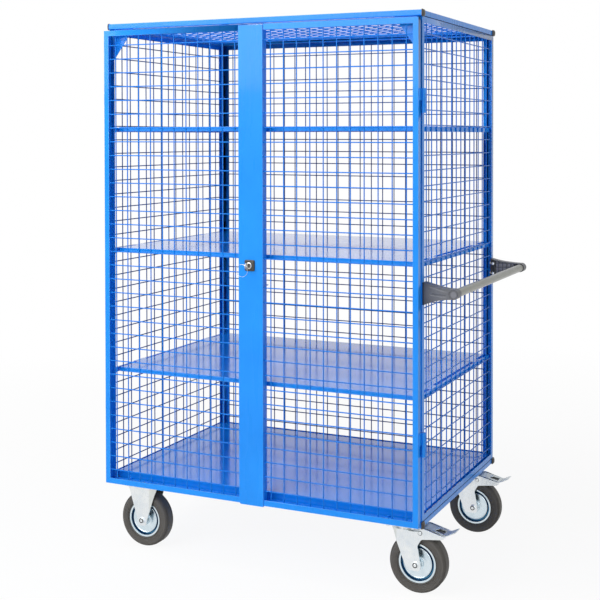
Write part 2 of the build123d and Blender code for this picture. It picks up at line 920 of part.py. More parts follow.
def axle():
    """Axle bolt with its head, nut and the spacers beside the hub."""
    bolt = rod_y(axle_radius, -fork_half, fork_half)
    head = RegularPolygon(axle_head, 6, major_radius=False)
    bolt += across_y(head, -fork_half - axle_head_thick, -fork_half)
    bolt += across_y(head, fork_half, fork_half + axle_head_thick)
    for low, high in ((-fork_gap / 2, -hub_length / 2), (hub_length / 2, fork_gap / 2)):
        inner = (low + wheel_fit, high - wheel_fit)
        bolt += rod_y(axle_head, *inner)
    return bolt


def top_plate():
    outline = Rectangle(plate_length, plate_width)
    outline = fillet(outline.vertices(), plate_round)
    for x in (-bolt_span_x / 2, bolt_span_x / 2):
        for y in (-bolt_span_y / 2, bolt_span_y / 2):
            outline -= Pos(x, y) * Circle(bolt_radius + bolt_clearance)
    return across_z(outline, plate_bottom, base_bottom)


# Swivel caster on its swivel axis, wheel trailing towards +X
def swivel_head():
    """Top plate with the upper race and the king pin that carries the fork."""
    under = crown_top - fork_sheet
    race_mid = crown_top + race_height / 2
    head = top_plate() + across_z(Circle(race_radius), race_mid + race_split / 2, plate_bottom)
    head += across_z(Circle(king_pin_radius), under - king_pin_head_thick, plate_bottom)
    return head + across_z(Circle(king_pin_head), under - king_pin_head_thick, under - race_split)


def swivel_fork():
    """Pressed fork: round-nosed crown, creased legs and two arms for the brake."""
    nose = -caster_offset - crown_nose
    under = crown_top - fork_sheet
    foot = axle_z - leg_end
    low_arm = axle_z + arm_bottom
    high = crown_top + arm_top_rise
    side = polygon(
        [
            (nose, crown_top),
            (nose + crown_lip_run, crown_top - crown_lip_drop),
            (-leg_front, axle_z - leg_front_low),
            (-leg_front + leg_front_cut, foot),
            (leg_rear - leg_rear_cut, foot),
            (leg_rear, axle_z - leg_rear_cut),
            (leg_rear - leg_waist_in, axle_z + leg_waist),
            (leg_rear + arm_root_out, low_arm),
            (arm_reach - arm_tip_cut, low_arm + arm_rise),
            (arm_reach, under - arm_tip_drop),
            (arm_shoulder, high),
            (leg_rear, high),
            (leg_rear - arm_root, crown_top),
        ]
    )
    feet = side.vertices().filter_by(lambda v: v.Y < foot + leg_rear_cut)
    side = fillet(feet, foot_round)
    throat = side.vertices().filter_by(lambda v: v.X > 0 and axle_z < v.Y < low_arm + arm_rise / 2)
    side = fillet(throat, throat_round)
    plan = polygon(
        [
            (arm_reach, -fork_half),
            (arm_reach, fork_half),
            (-leg_crease, fork_half),
            (-caster_offset - leg_end, fork_half - leg_taper),
            (nose, fork_half / 2),
            (nose, -fork_half / 2),
            (-caster_offset - leg_end, -fork_half + leg_taper),
            (-leg_crease, -fork_half),
        ]
    )
    fork = across_y(side, -fork_half, fork_half) & across_z(plan, foot, high)
    inner = offset(plan, -fork_sheet, kind=Kind.INTERSECTION)
    fork -= across_z(inner, foot, under)
    well = pedal_pivot_x - pedal_ear - pedal_clearance
    fork -= block((well, arm_reach), (-fork_gap / 2, fork_gap / 2), (foot, high))
    fork -= rod_y(axle_radius + wheel_fit, -fork_half, fork_half).moved(Location((0, 0, axle_z)))
    pivot = Pos(pedal_pivot_x, 0, pivot_z)
    fork -= pivot * rod_y(pedal_pin_radius + running_fit, -fork_half, fork_half)
    fork = Pos(caster_offset, 0, 0) * fork
    fork -= across_z(Circle(king_pin_radius + running_fit), under, crown_top)
    race_mid = crown_top + race_height / 2
    race = Circle(race_radius) - Circle(king_pin_radius + running_fit)
    return fork + across_z(race, crown_top, race_mid - race_split / 2)


def brake_pedal():
    """Bent pedal on its rivet, with cheeks, a window, an upturned toe and the brake tongue."""
    wide = pedal_width / 2
    start = pedal_pivot_x + pedal_ear
    start_z = pivot_z + pedal_start_rise
    toe_z = pivot_z - pedal_toe_drop
    tip_z = pivot_z + pedal_tip_rise
    sheet = polygon(
        [
            (start, start_z),
            (pedal_toe_x, toe_z),
            (pedal_tip_x, tip_z),
            (pedal_tip_x - pedal_tip_lean, tip_z + pedal_sheet),
            (pedal_toe_x, toe_z + pedal_sheet),
            (start, start_z + pedal_sheet),
        ]
    )
    plan = polygon(
        [
            (pedal_pivot_x, -wide),
            (pedal_toe_x, -wide),
            (pedal_tip_x, -pedal_tip_width / 2),
            (pedal_tip_x, pedal_tip_width / 2),
            (pedal_toe_x, wide),
            (pedal_pivot_x, wide),
        ]
    )
    # The tongue stops just short of the tread when the pedal is down
    touch = math.radians(brake_contact_angle)
    reach = wheel_diameter / 2 + brake_gap
    x_down = reach * math.cos(touch) - pedal_pivot_x
    z_down = axle_z + reach * math.sin(touch) - pivot_z
    turn = math.radians(brake_travel)
    x_up = pedal_pivot_x + x_down * math.cos(turn) - z_down * math.sin(turn)
    z_up = pivot_z + x_down * math.sin(turn) + z_down * math.cos(turn)
    window_end = pedal_toe_x - pedal_window_edge
    window = polygon(
        [
            (x_up + pedal_sheet, -brake_shoe_width / 2),
            (window_end, -pedal_window_width / 2),
            (window_end, pedal_window_width / 2),
            (x_up + pedal_sheet, brake_shoe_width / 2),
        ]
    )
    z_range = (pivot_z - wide, pivot_z + wide)
    pedal = across_y(sheet, -wide, wide) & across_z(plan, *z_range)
    pedal -= across_z(window, *z_range)
    cheek = polygon(
        [
            (pedal_pivot_x - pedal_ear, pivot_z),
            (pedal_pivot_x, pivot_z - pedal_ear),
            (start, pivot_z - pedal_ear),
            (pedal_toe_x, toe_z),
            (start, start_z + pedal_sheet),
            (pedal_pivot_x, pivot_z + pedal_ear),
        ]
    )
    pedal += across_y(cheek, -wide, -wide + pedal_sheet)
    pedal += across_y(cheek, wide - pedal_sheet, wide)
    pivot = Pos(pedal_pivot_x, 0, pivot_z)
    pin_end = fork_half + race_split
    head_end = pin_end + pedal_pin_head_thick
    pedal += pivot * rod_y(pedal_pin_radius, -pin_end, pin_end)
    pedal += pivot * rod_y(pedal_pin_head, -head_end, -pin_end)
    pedal += pivot * rod_y(pedal_pin_head, pin_end, head_end)
    share = (x_up - start) / (pedal_toe_x - start)
    root_z = start_z + share * (toe_z - start_z) + pedal_sheet / 2
    tongue = polygon(
        [
            (x_up, z_up),
            (x_up + pedal_sheet, z_up + pedal_sheet / 2),
            (x_up + pedal_sheet, root_z),
            (x_up - pedal_sheet, root_z),
        ]
    )
    pedal += across_y(tongue, -brake_shoe_width / 2, brake_shoe_width / 2)
    return Pos(caster_offset, 0, 0) * pedal


# Fixed caster on its wheel centre
def fixed_fork():
    """Plate and two tapered legs, each with one edge folded in towards the wheel."""
    foot = axle_z - leg_end
    side = polygon(
        [
            (-fixed_leg_top, plate_bottom),
            (-leg_end, axle_z),
            (-leg_end + fixed_foot_cut, foot),
            (leg_end - fixed_foot_cut, foot),
            (leg_end, axle_z),
            (fixed_leg_top, plate_bottom),
        ]
    )
    feet = side.vertices().filter_by(lambda v: v.Y < foot + fixed_foot_cut)
    side = fillet(feet, fixed_foot_round)
    face = fork_half
    fold = fork_half - fixed_leg_fold
    plan = polygon(
        [
            (-fixed_leg_top, face),
            (fixed_fold_x, face),
            (fixed_leg_top, fold),
            (fixed_leg_top, fold - fork_sheet),
            (fixed_fold_x, face - fork_sheet),
            (-fixed_leg_top, face - fork_sheet),
        ]
    )
    leg = across_z(plan, foot, plate_bottom) & across_y(side, 0, fork_half)
    leg -= Pos(0, 0, axle_z) * rod_y(axle_radius + wheel_fit, 0, fork_half)
    return top_plate() + leg + mirror(leg, Plane.XZ)


def under_tube(y):
    """Whether a caster bolt goes up through the front base tube."""
    return y - 2 * bolt_radius < frame_front + tube


def bolt_hole(x, y):
    return across_z(Pos(x, y) * Circle(bolt_radius + bolt_clearance), base_bottom, base_top)


def caster_bolt(x, y):
    """Bolt through a caster plate and the tube or channel above it, nut on top."""
    place = Pos(x, y)
    seat = base_top if under_tube(y) else base_bottom + channel_sheet
    hexagon = place * RegularPolygon(bolt_head, 6, major_radius=False)
    bolt = across_z(hexagon, plate_bottom - bolt_head_thick, plate_bottom)
    shank = place * RegularPolygon(bolt_radius, 6)
    bolt += across_z(shank, plate_bottom, seat)
    return bolt + across_z(hexagon, seat, seat + bolt_head_thick)


def bolt_places(x):
    return [
        (x + sx * bolt_span_x / 2, y + sy * bolt_span_y / 2)
        for y in caster_ys.values()
        for sx in (-1, 1)
        for sy in (-1, 1)
    ]


def caster_channel(axis):
    """Channel between the base tubes that a pair of casters is bolted to, at the +X end."""
    low = axis - plate_length / 2 - channel_edge
    high = half - tube
    y_range = (frame_front + tube, frame_rear - tube)
    top = base_bottom + channel_height
    inner_x = (low + channel_sheet, high - channel_sheet)
    channel = block((low, high), y_range, (base_bottom, top))
    channel -= block(inner_x, y_range, (base_bottom + channel_sheet, top))
    for x, y in bolt_places(axis):
        channel -= bolt_hole(x, y)
    return channel


os.makedirs("parts", exist_ok=True)

save("base_frame", *base_tubes())
save("base_deck", deck())
save("right_caster_channel", caster_channel(swivel_x))
save("left_caster_channel", other_end(caster_channel(fixed_x)))
save("roof_frame", *roof_tubes())
save("roof_mesh", *roof_mesh())
save("frame_plugs", *plugs())
save("left_panel_frame", *[other_end(bar) for bar in side_frame()])
save("left_panel_mesh", *[other_end(bar) for bar in side_mesh()])
save("right_panel_frame", *handle_side_frame())
save("right_panel_mesh", *side_mesh())
save("back_panel_frame", *back_frame())
save("back_panel_mesh", *back_mesh())
save("front_gussets", gusset(), other_end(gusset()))
shelf_rises = {"bottom": shelf_bottom_rise, "middle": shelf_middle_rise, "top": shelf_top_rise}
for level, rise in shelf_rises.items():
    save(f"{level}_shelf", shelf(rise))
rails = [shelf_rail(rise) for rise in shelf_rises.values()]
save("shelf_rails", *rails, *[other_end(rail) for rail in rails])

save("left_door_frame", *left_door_frame())
save("left_door_mesh", *left_door_mesh())
save("right_door_frame", *right_door_frame())
save("right_door_mesh", *right_door_mesh())
save("cover_plate", cover_plate())
door_knuckles = [door_knuckle(z) for z in hinge_levels]
post_knuckles = [post_knuckle(z) for z in hinge_levels]
save("right_door_knuckles", *door_knuckles)
save("left_door_knuckles", *[other_end(knuckle) for knuckle in door_knuckles])
save("right_post_hinges", *post_knuckles)
save("left_post_hinges", *[other_end(knuckle) for knuckle in post_knuckles])

save("lock_housing", lock_housing())
save("lock_cam", lock_cam())
save("lock_key", key())
save("key_ring", key_ring())
upper_pin = lock_z - cam_pin_in
lower_pin = lock_z + cam_pin_in
upper_rod = lock_rod(lock_x + rod_x, upper_pin, upper_pin - rod_end, roof_bottom - rod_rest_gap)
lower_rod = lock_rod(lock_x - rod_x, lower_pin, base_top + rod_rest_gap, lower_pin + rod_end)
save("upper_lock_rod", upper_rod)
save("lower_lock_rod", lower_rod)

arm = front_arm()
pad = handle_pad()
save("front_handle_arm", arm)
save("rear_handle_arm", rear_of(arm))
save("handle_pads", pad, rear_of(pad))
save("handle_tube", handle_tube())
save("handle_screws", *[handle_screw(place) for place in handle_screw_places()])

wheel_tyre = tyre()
wheel_rim = rim()
wheel_axle = axle()
rigid = fixed_fork()
head = swivel_head()
fork = swivel_fork()
pedal = brake_pedal()
for end, y in caster_ys.items():
    left = Pos(-fixed_x, y, 0)
    right = Pos(swivel_x, y, 0)
    save(f"{end}_left_fork", left * rigid)
    save(f"{end}_right_swivel_plate", right * head)
    save(f"{end}_right_fork", right * fork)
    save(f"{end}_right_brake_pedal", right * pedal)
    for side, x in (("left", -fixed_x), ("right", swivel_x + caster_offset)):
        hub = Pos(x, y, axle_z)
        save(f"{end}_{side}_axle", hub * wheel_axle)
        save(f"{end}_{side}_rim", hub * wheel_rim)
        save(f"{end}_{side}_tyre", hub * wheel_tyre)
bolts = [caster_bolt(x, y) for x, y in bolt_places(swivel_x)]
bolts += [caster_bolt(x, y) for x, y in bolt_places(-fixed_x)]
save("caster_bolts", *bolts)
print("origin shift", round(mid_x, 3), round(mid_y, 3))
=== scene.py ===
import json
from math import copysign, cos, pi, radians, sin

import bmesh
import bpy
from mathutils import Matrix, Vector

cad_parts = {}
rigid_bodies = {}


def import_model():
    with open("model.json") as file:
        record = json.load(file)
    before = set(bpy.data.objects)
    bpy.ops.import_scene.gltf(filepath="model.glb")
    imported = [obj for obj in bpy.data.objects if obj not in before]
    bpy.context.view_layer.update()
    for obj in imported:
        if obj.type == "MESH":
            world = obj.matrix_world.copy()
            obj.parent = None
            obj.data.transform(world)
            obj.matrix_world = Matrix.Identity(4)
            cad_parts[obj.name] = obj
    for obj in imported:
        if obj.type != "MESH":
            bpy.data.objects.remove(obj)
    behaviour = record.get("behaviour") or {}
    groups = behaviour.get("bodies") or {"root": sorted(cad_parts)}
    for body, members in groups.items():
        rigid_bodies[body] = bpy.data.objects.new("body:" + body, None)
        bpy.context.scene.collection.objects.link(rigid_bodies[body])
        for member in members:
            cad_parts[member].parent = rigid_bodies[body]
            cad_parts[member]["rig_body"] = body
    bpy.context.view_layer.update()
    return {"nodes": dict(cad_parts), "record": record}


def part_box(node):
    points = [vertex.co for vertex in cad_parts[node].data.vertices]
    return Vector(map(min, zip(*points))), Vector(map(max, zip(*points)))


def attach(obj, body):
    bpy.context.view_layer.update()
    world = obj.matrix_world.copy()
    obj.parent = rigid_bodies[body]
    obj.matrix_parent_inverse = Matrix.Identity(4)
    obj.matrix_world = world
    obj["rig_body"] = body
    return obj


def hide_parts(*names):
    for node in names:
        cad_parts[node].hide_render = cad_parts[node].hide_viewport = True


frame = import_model()
cad = frame["nodes"]
slots = {entry["node"]: entry["material_slot"] for entry in frame["record"]["subparts"]}

MM = 0.001
# The cage's own middle, door face and floor, seen from the part's frame
CAGE_ORIGIN = Vector((-57.6, -392.5, 0.0)) * MM

# Sizes of the trolley that the dressed pieces follow, in millimetres
WIRE = 4.0
PITCH = 50.0
ANGLE = 20.0
ANGLE_WALL = 3.0
WIRE_LAP = 4.0
HALF = 615.0
PANEL_FRONT, PANEL_REAR = 34.0, 806.0
PANEL_LOW, PANEL_HIGH = 250.0, 1901.0
DOOR_LOW, DOOR_HIGH = 239.0, 1894.0
DEPTH_MIDDLE = 420.0
FRAME_FRONT, FRAME_REAR = 28.0, 812.0
TUBE = 20.0
MEETING_EDGE = 22.0
COVER_RIGHT = 45.0
BACK_HALF = 594.5
LOCK = (-5.0, 1066.0)
WHEELS = {
    "front_left": (-492.0, 86.0),
    "rear_left": (-492.0, 684.0),
    "front_right": (586.0, 86.0),
    "rear_right": (586.0, 684.0),
}
AXLE_HEIGHT = 100.0
FORK_HALF = 36.0
PEDAL_PIVOT = (602.0, 207.0)
PEDAL_START, PEDAL_FALL, PEDAL_PIN = (608.0, 223.5), 0.21875, 4.0
PLATE_BOTTOM, PLATE_AND_CHANNEL = 226.0, 8.0
BOLT_AXES = (-492.0, 536.0)
BOLT_SPAN_X, BOLT_SPAN_Y = 88.0, 92.0
HANDLE_X, HANDLE_Z = 728.0, 1003.0
ARM_START, ARM_OUTER, ARM_BASE_DEPTH, ARM_MIDDLE = 619.0, 36.5, 32.0, 998.0
BOSS_FRONT, BOSS_LENGTH = 17.5, 34.0

# First wires of the panels: rows from the lower edge, columns from the front or meeting edge
PANEL_FIRST_ROW, DOOR_FIRST_ROW = 47.0, 51.0
SIDE_FIRST_COLUMN = 61.0
LEFT_DOOR_FIRST_COLUMN, RIGHT_DOOR_FIRST_COLUMN = 48.0, 25.0

# Corners bent more than these keep their edge, on most pieces and on the carved arms
ROUND_LIMIT = radians(38)
CARVED_LIMIT = radians(9)
# Faces wider than this also show a crease between them from the smaller bend
CREASE_BEND = radians(3)
CREASE_WIDTH = 8.0 * MM

# Widths of the broken edges
FRAME_EDGE, PANEL_EDGE, SHEET_EDGE = 0.9, 1.3, 0.6
PLATE_EDGE, ARM_ROUND, LOCK_EDGE = 0.8, 0.5, 0.3


def at(x, y, z):
    """A place in cage millimetres, in the part's frame."""
    return CAGE_ORIGIN + Vector((x, y, z)) * MM


# Node helpers


def connect(tree, node, inputs):
    """Sets inputs of a node: a socket is linked, anything else is its value."""
    for key, value in inputs.items():
        if isinstance(value, bpy.types.NodeSocket):
            tree.links.new(value, node.inputs[key])
        else:
            node.inputs[key].default_value = value


def add_node(tree, kind, inputs=None, **settings):
    made = tree.nodes.new(kind)
    for key, value in settings.items():
        setattr(made, key, value)
    connect(tree, made, inputs or {})
    return made


def calc(tree, operation, first, second):
    inputs = {0: first, 1: second}
    return add_node(tree, "ShaderNodeMath", inputs, operation=operation).outputs[0]


def noise(tree, vector, scale, detail=2.0, rough=0.5):
    inputs = {"Vector": vector, "Scale": scale, "Detail": detail, "Roughness": rough}
    return add_node(tree, "ShaderNodeTexNoise", inputs).outputs["Fac"]


def spread(tree, value, low, high, to_low=0.0, to_high=1.0):
    """A value's range from low to high, mapped on another."""
    inputs = {"Value": value, "From Min": low, "From Max": high, "To Min": to_low, "To Max": to_high}
    return add_node(tree, "ShaderNodeMapRange", inputs).outputs["Result"]


def stretched(tree, vector, scale):
    return add_node(tree, "ShaderNodeMapping", {"Vector": vector, "Scale": scale}).outputs["Vector"]


# Surface effects


def effect(name, scales, pattern):
    """A shader group with named scales as inputs, and a pattern's results as outputs."""
    tree = bpy.data.node_groups.new(name, "ShaderNodeTree")
    for label, value in scales.items():
        socket = tree.interface.new_socket(label, in_out="INPUT", socket_type="NodeSocketFloat")
        socket.default_value = value
    given = tree.nodes.new("NodeGroupInput").outputs
    place = tree.nodes.new("ShaderNodeTexCoord").outputs["Object"]
    results = pattern(tree, place, given)
    for label in results:
        tree.interface.new_socket(label, in_out="OUTPUT", socket_type="NodeSocketFloat")
    connect(tree, tree.nodes.new("NodeGroupOutput"), results)
    return tree


def powder_coat(tree, place, given):
    """Orange peel, slow clouds of tone and upright wiping smears of sprayed and baked paint."""
    wiped = stretched(tree, place, (26, 26, 3))
    return {
        "Cloud": spread(tree, noise(tree, place, given["Cloud Scale"], 3.0), 0.3, 0.7),
        "Smear": spread(tree, noise(tree, wiped, 1.0, 5.0, 0.6), 0.35, 0.75),
        "Peel": noise(tree, place, given["Peel Scale"], 1.5),
    }


def plating(tree, place, given):
    """Cloudy passivation, fine rolling lines and pits of bright zinc plate."""
    rolled = stretched(tree, place, (1.0, 1.0, 0.06))
    return {
        "Cloud": spread(tree, noise(tree, place, given["Cloud Scale"], 4.0, 0.6), 0.3, 0.7),
        "Lines": noise(tree, rolled, given["Line Scale"], 2.0),
        "Pits": noise(tree, place, given["Pit Scale"], 2.0),
    }


def moulded_skin(tree, place, given):
    """Spark-eroded grain and faint flow marks of moulded plastic and rubber."""
    return {
        "Grain": noise(tree, place, given["Grain Scale"], 2.0),
        "Flow": spread(tree, noise(tree, place, given["Flow Scale"], 4.0, 0.6), 0.3, 0.7),
    }


POWDER_COAT = effect("powder coat", {"Peel Scale": 700.0, "Cloud Scale": 5.0}, powder_coat)
PLATING = effect(
    "zinc plating", {"Cloud Scale": 28.0, "Line Scale": 260.0, "Pit Scale": 1400.0}, plating
)
MOULDED = effect("moulded skin", {"Grain Scale": 1500.0, "Flow Scale": 22.0}, moulded_skin)


# Finishes


def tone(tree, factor, dark, light):
    inputs = {0: factor, 6: (*dark, 1), 7: (*light, 1)}
    return add_node(tree, "ShaderNodeMix", inputs, data_type="RGBA").outputs[2]


def bump(tree, height, strength, distance):
    inputs = {"Height": height, "Strength": strength, "Distance": distance}
    return add_node(tree, "ShaderNodeBump", inputs).outputs["Normal"]


def surface(name, group, looks):
    """A material whose shader inputs come from looks, given its tree and a surface effect."""
    material = bpy.data.materials.new(name)
    material.use_nodes = True
    tree = material.node_tree
    skin = add_node(tree, "ShaderNodeGroup", node_tree=group).outputs
    connect(tree, tree.nodes["Principled BSDF"], looks(tree, skin))
    return material


def painted(name, dark, light, gloss, sheen, coat):
    """Baked paint: tone clouds, smears in the gloss, orange peel and a clear skin."""

    def looks(tree, skin):
        return {
            "Base Color": tone(tree, skin["Cloud"], dark, light),
            "Roughness": spread(tree, skin["Smear"], 0, 1, *gloss),
            "Normal": bump(tree, skin["Peel"], strength=0.12, distance=0.0004),
            "Specular IOR Level": sheen,
            "Coat Weight": coat,
            "Coat Roughness": 0.08,
            "Coat IOR": 1.32,
        }

    return surface(name, POWDER_COAT, looks)


def plated(name, dark, light, gloss):
    def looks(tree, skin):
        return {
            "Base Color": tone(tree, skin["Cloud"], dark, light),
            "Roughness": spread(tree, skin["Lines"], 0.3, 0.7, *gloss),
            "Normal": bump(tree, skin["Pits"], strength=0.1, distance=0.0003),
            "Metallic": 1.0,
        }

    return surface(name, PLATING, looks)


def moulded(name, dark, light, gloss, grain):
    def looks(tree, skin):
        return {
            "Base Color": tone(tree, skin["Flow"], dark, light),
            "Roughness": spread(tree, skin["Flow"], 0, 1, *gloss),
            "Normal": bump(tree, skin["Grain"], strength=grain, distance=0.0004),
        }

    return surface(name, MOULDED, looks)


# Each finish has a dark and a light tone and its lowest and highest roughness
FRAME_BLUE = painted(
    "frame blue", (0.010, 0.265, 0.88), (0.014, 0.300, 0.95), (0.24, 0.38), sheen=0.12, coat=0.5
)
# Lighter blue on the broken edges: partly thinner paint on cut edges, partly a painted highlight of
# light caught from above
EDGE_THINNING_AND_HIGHLIGHT_BLUE = painted(
    "frame edge thinning and highlight blue", (0.05, 0.34, 0.95), (0.12, 0.42, 1.0), (0.20, 0.30), sheen=0.3, coat=0.9
)
SHEET_BLUE = painted(
    "sheet blue", (0.006, 0.258, 0.86), (0.012, 0.293, 0.94), (0.10, 0.18), sheen=0.38, coat=0.45
)
WIRE_BLUE = painted(
    "wire blue", (0.004, 0.185, 0.70), (0.008, 0.220, 0.80), (0.22, 0.34), sheen=0.12, coat=0.15
)
# Darker blue for the wires of the back and left panels: the same paint as the other wires, with
# painted shade
SHADED_WIRE_BLUE = painted(
    "painted shade wire blue", (0.010, 0.075, 0.26), (0.014, 0.095, 0.32), (0.3, 0.4), sheen=0.12, coat=0.1
)
# Near-black blue of the strips that paint the shade in narrow joints and gaps
SHADE_STRIP_BLUE = painted(
    "painted shade strip blue", (0.003, 0.028, 0.125), (0.004, 0.038, 0.165), (0.5, 0.6), sheen=0.1, coat=0.0
)
TUBE_GREY = painted(
    "handle tube grey", (0.235, 0.243, 0.205), (0.275, 0.283, 0.240), (0.28, 0.36), sheen=0.5, coat=0.2
)
ZINC = plated("bright zinc", (0.70, 0.75, 0.79), (0.84, 0.86, 0.86), (0.22, 0.36))
# Darker zinc of the forks' folded sides: partly duller plating in bent zones, partly painted shade
DULL_AND_SHADED_FOLD_ZINC = plated("folded zinc dull and shaded", (0.62, 0.655, 0.65), (0.74, 0.755, 0.73), (0.30, 0.42))
# Darker zinc of the brake pedals: a painted reflection of the dark underside of the base
PEDAL_REFLECTION_ZINC = plated("pedal zinc painted reflection", (0.46, 0.50, 0.52), (0.60, 0.64, 0.65), (0.36, 0.48))
RIM_ZINC = plated("rim zinc", (0.60, 0.71, 0.77), (0.74, 0.82, 0.86), (0.18, 0.30))
# Dark teal-blue zinc in the rim's groove: a painted reflection of the blue cage and painted shade
GROOVE_REFLECTION_BLUE = plated("rim groove painted reflection and shade", (0.04, 0.15, 0.27), (0.07, 0.22, 0.36), (0.3, 0.45))
DARK_STEEL = plated("dark steel", (0.10, 0.105, 0.11), (0.18, 0.185, 0.19), (0.30, 0.45))
NICKEL = plated("key nickel", (0.62, 0.61, 0.58), (0.78, 0.77, 0.74), (0.14, 0.24))
TYRE_RUBBER = moulded(
    "tyre rubber", (0.080, 0.074, 0.066), (0.110, 0.103, 0.094), (0.55, 0.72), grain=0.3
)
ARM_GREY = moulded(
    "arm grey", (0.105, 0.110, 0.125), (0.140, 0.145, 0.165), (0.38, 0.50), grain=0.3
)
# Much lighter grey of the pocket floors: painted light against the shade in the pockets
LIT_POCKET_GREY = moulded(
    "arm floor painted light grey", (0.38, 0.38, 0.45), (0.46, 0.46, 0.53), (0.40, 0.52), grain=0.3
)
# Lighter grey of the arm's sunk disc and broken edges: a painted highlight on the same plastic
ARM_HIGHLIGHT_GREY = moulded(
    "arm painted highlight grey", (0.165, 0.170, 0.195), (0.20, 0.205, 0.235), (0.36, 0.46), grain=0.3
)
PLUG_DARK = moulded(
    "plug dark", (0.030, 0.026, 0.022), (0.060, 0.050, 0.040), (0.28, 0.42), grain=0.2
)
BLACK = moulded(
    "lock black", (0.012, 0.012, 0.013), (0.022, 0.022, 0.024), (0.25, 0.38), grain=0.15
)
LOCK_FACE = moulded(
    "lock face", (0.050, 0.052, 0.050), (0.085, 0.086, 0.080), (0.22, 0.34), grain=0.2
)


# Piece helpers


def linked(name, data):
    made = bpy.data.objects.new(name, data)
    bpy.context.scene.collection.objects.link(made)
    return made


def body_of(node):
    return cad[node]["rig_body"]


def new_piece(name, mesh, body, slot, *nodes):
    """A finished piece that rides on a body and stands for CAD nodes."""
    piece = linked(name, mesh)
    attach(piece, body)
    if nodes:
        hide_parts(*nodes)


def stand_in(node, suffix, mesh):
    """A piece that stands for one CAD node, on its body."""
    new_piece(node + suffix, mesh, body_of(node), slots[node], node)


def settled(source):
    """The evaluated mesh of an object with its modifiers, and the object removed."""
    graph = bpy.context.evaluated_depsgraph_get()
    mesh = bpy.data.meshes.new_from_object(source.evaluated_get(graph))
    bpy.data.objects.remove(source)
    return mesh


def smooth(mesh, angle):
    """Round shading, but for corners bent more than an angle in degrees."""
    mesh.shade_smooth()
    mesh.set_sharp_from_angle(angle=radians(angle))
    return mesh


def mesh_of(name, shape, finishes):
    """The mesh of a shape with its finishes, and the shape freed."""
    mesh = bpy.data.meshes.new(name)
    shape.to_mesh(mesh)
    shape.free()
    for material in finishes:
        mesh.materials.append(material)
    return mesh


def in_one_finish(mesh, material):
    mesh.materials.clear()
    mesh.materials.append(material)
    return mesh


def together(*meshes):
    """Several finished meshes as one; finishes follow their faces."""
    shape = bmesh.new()
    finishes = []
    for mesh in meshes:
        first = len(shape.faces)
        shape.from_mesh(mesh)
        shape.faces.ensure_lookup_table()
        places = []
        for material in mesh.materials:
            if material not in finishes:
                finishes.append(material)
            places.append(finishes.index(material))
        for face in shape.faces[first:]:
            face.material_index = places[face.material_index]
    return mesh_of("together", shape, finishes)


# CAD nodes with broken edges


def merged(node):
    """A copy of a CAD node's mesh with its loose triangles joined into whole faces."""
    shape = bmesh.new()
    shape.from_mesh(cad[node].data)
    bmesh.ops.remove_doubles(shape, verts=shape.verts, dist=2e-6)
    flat = radians(0.4)
    bmesh.ops.dissolve_limit(shape, angle_limit=flat, verts=shape.verts, edges=shape.edges)
    for face in shape.faces:
        face.material_index = 0
    return shape


def face_width(face):
    return 2 * face.calc_area() / max(face.calc_perimeter(), 1e-9)


def shade(shape, creases, limit=ROUND_LIMIT):
    """Round shading, but for corners and, where asked, the slight creases between wide faces."""
    for face in shape.faces:
        face.smooth = True
    for edge in shape.edges:
        bend = edge.calc_face_angle(0.0)
        pressed = creases and bend > CREASE_BEND
        if pressed:
            pressed = min(face_width(face) for face in edge.link_faces) > CREASE_WIDTH
        edge.smooth = bend < limit and not pressed


def bevelled(name, shape, finishes, width):
    """The mesh of a shape with its corners broken; the last finish goes on the broken edges."""
    source = linked(name, mesh_of(name, shape, finishes))
    edge = source.modifiers.new("edge round", "BEVEL")
    edge.width = width * MM
    edge.segments = 2
    edge.limit_method = "ANGLE"
    edge.angle_limit = ROUND_LIMIT
    edge.use_clamp_overlap = True
    edge.harden_normals = True
    edge.material = len(finishes) - 1
    bpy.context.view_layer.update()
    return settled(source)


def rounded(node, finishes, width, creases=False, shape=None):
    """The CAD node with its edges broken by a small round, as folded and cut steel has."""
    shape = shape or merged(node)
    shade(shape, creases)
    stand_in(node, "_dressed", bevelled(node + "_rounded", shape, finishes, width))


# Turned and lofted shells


def turns(count, shift=0.0):
    """Angles evenly round a circle."""
    return [2 * pi * (step + shift) / count for step in range(count)]


def bridge(shape, here, there, bands):
    """Quads between two rings of corners; bands gives each one's finish."""
    count = len(here)
    for i in range(count):
        j = (i + 1) % count
        face = shape.faces.new((here[i], here[j], there[j], there[i]))
        face.material_index = bands[i]


def closed(name, shape, finishes, angle):
    """The mesh of a closed shape, its faces turned outward."""
    bmesh.ops.recalc_face_normals(shape, faces=shape.faces)
    return smooth(mesh_of(name, shape, finishes), angle)


def turned(profile, centre, segments, finishes, bands=None):
    """A closed (radius, Y) profile turned round an axle; bands gives each edge's finish."""
    shape = bmesh.new()
    rings = []
    for turn in turns(segments):
        ring = []
        for radius, y in profile:
            point = Vector((radius * cos(turn), y, radius * sin(turn))) * MM
            ring.append(shape.verts.new(centre + point))
        rings.append(ring)
    for here, there in zip(rings, rings[1:] + rings[:1]):
        bridge(shape, here, there, bands or [0] * len(profile))
    return closed("turned", shape, finishes, 32)


def faced(profile, side):
    """A (radius, Y) profile as it is, or for side -1 its mirror image."""
    return [(radius, side * y) for radius, y in profile]


def both_sides(points, bands=None):
    """Half a section of (radius, Y) points with its mirror image added."""
    whole = points + faced(points[::-1], -1)
    if bands is None:
        return whole, None
    return whole, bands + [0] + bands[::-1] + [0]


def soft_outline(half_u, half_v, power, count=40):
    """Rounded rectangle as a superellipse; the higher the power, the tighter its corners."""
    points = []
    for turn in turns(count, 0.5):
        x, y = cos(turn), sin(turn)
        u = half_u * copysign(abs(x) ** (2 / power), x)
        v = half_v * copysign(abs(y) ** (2 / power), y)
        points.append((u, v))
    return points


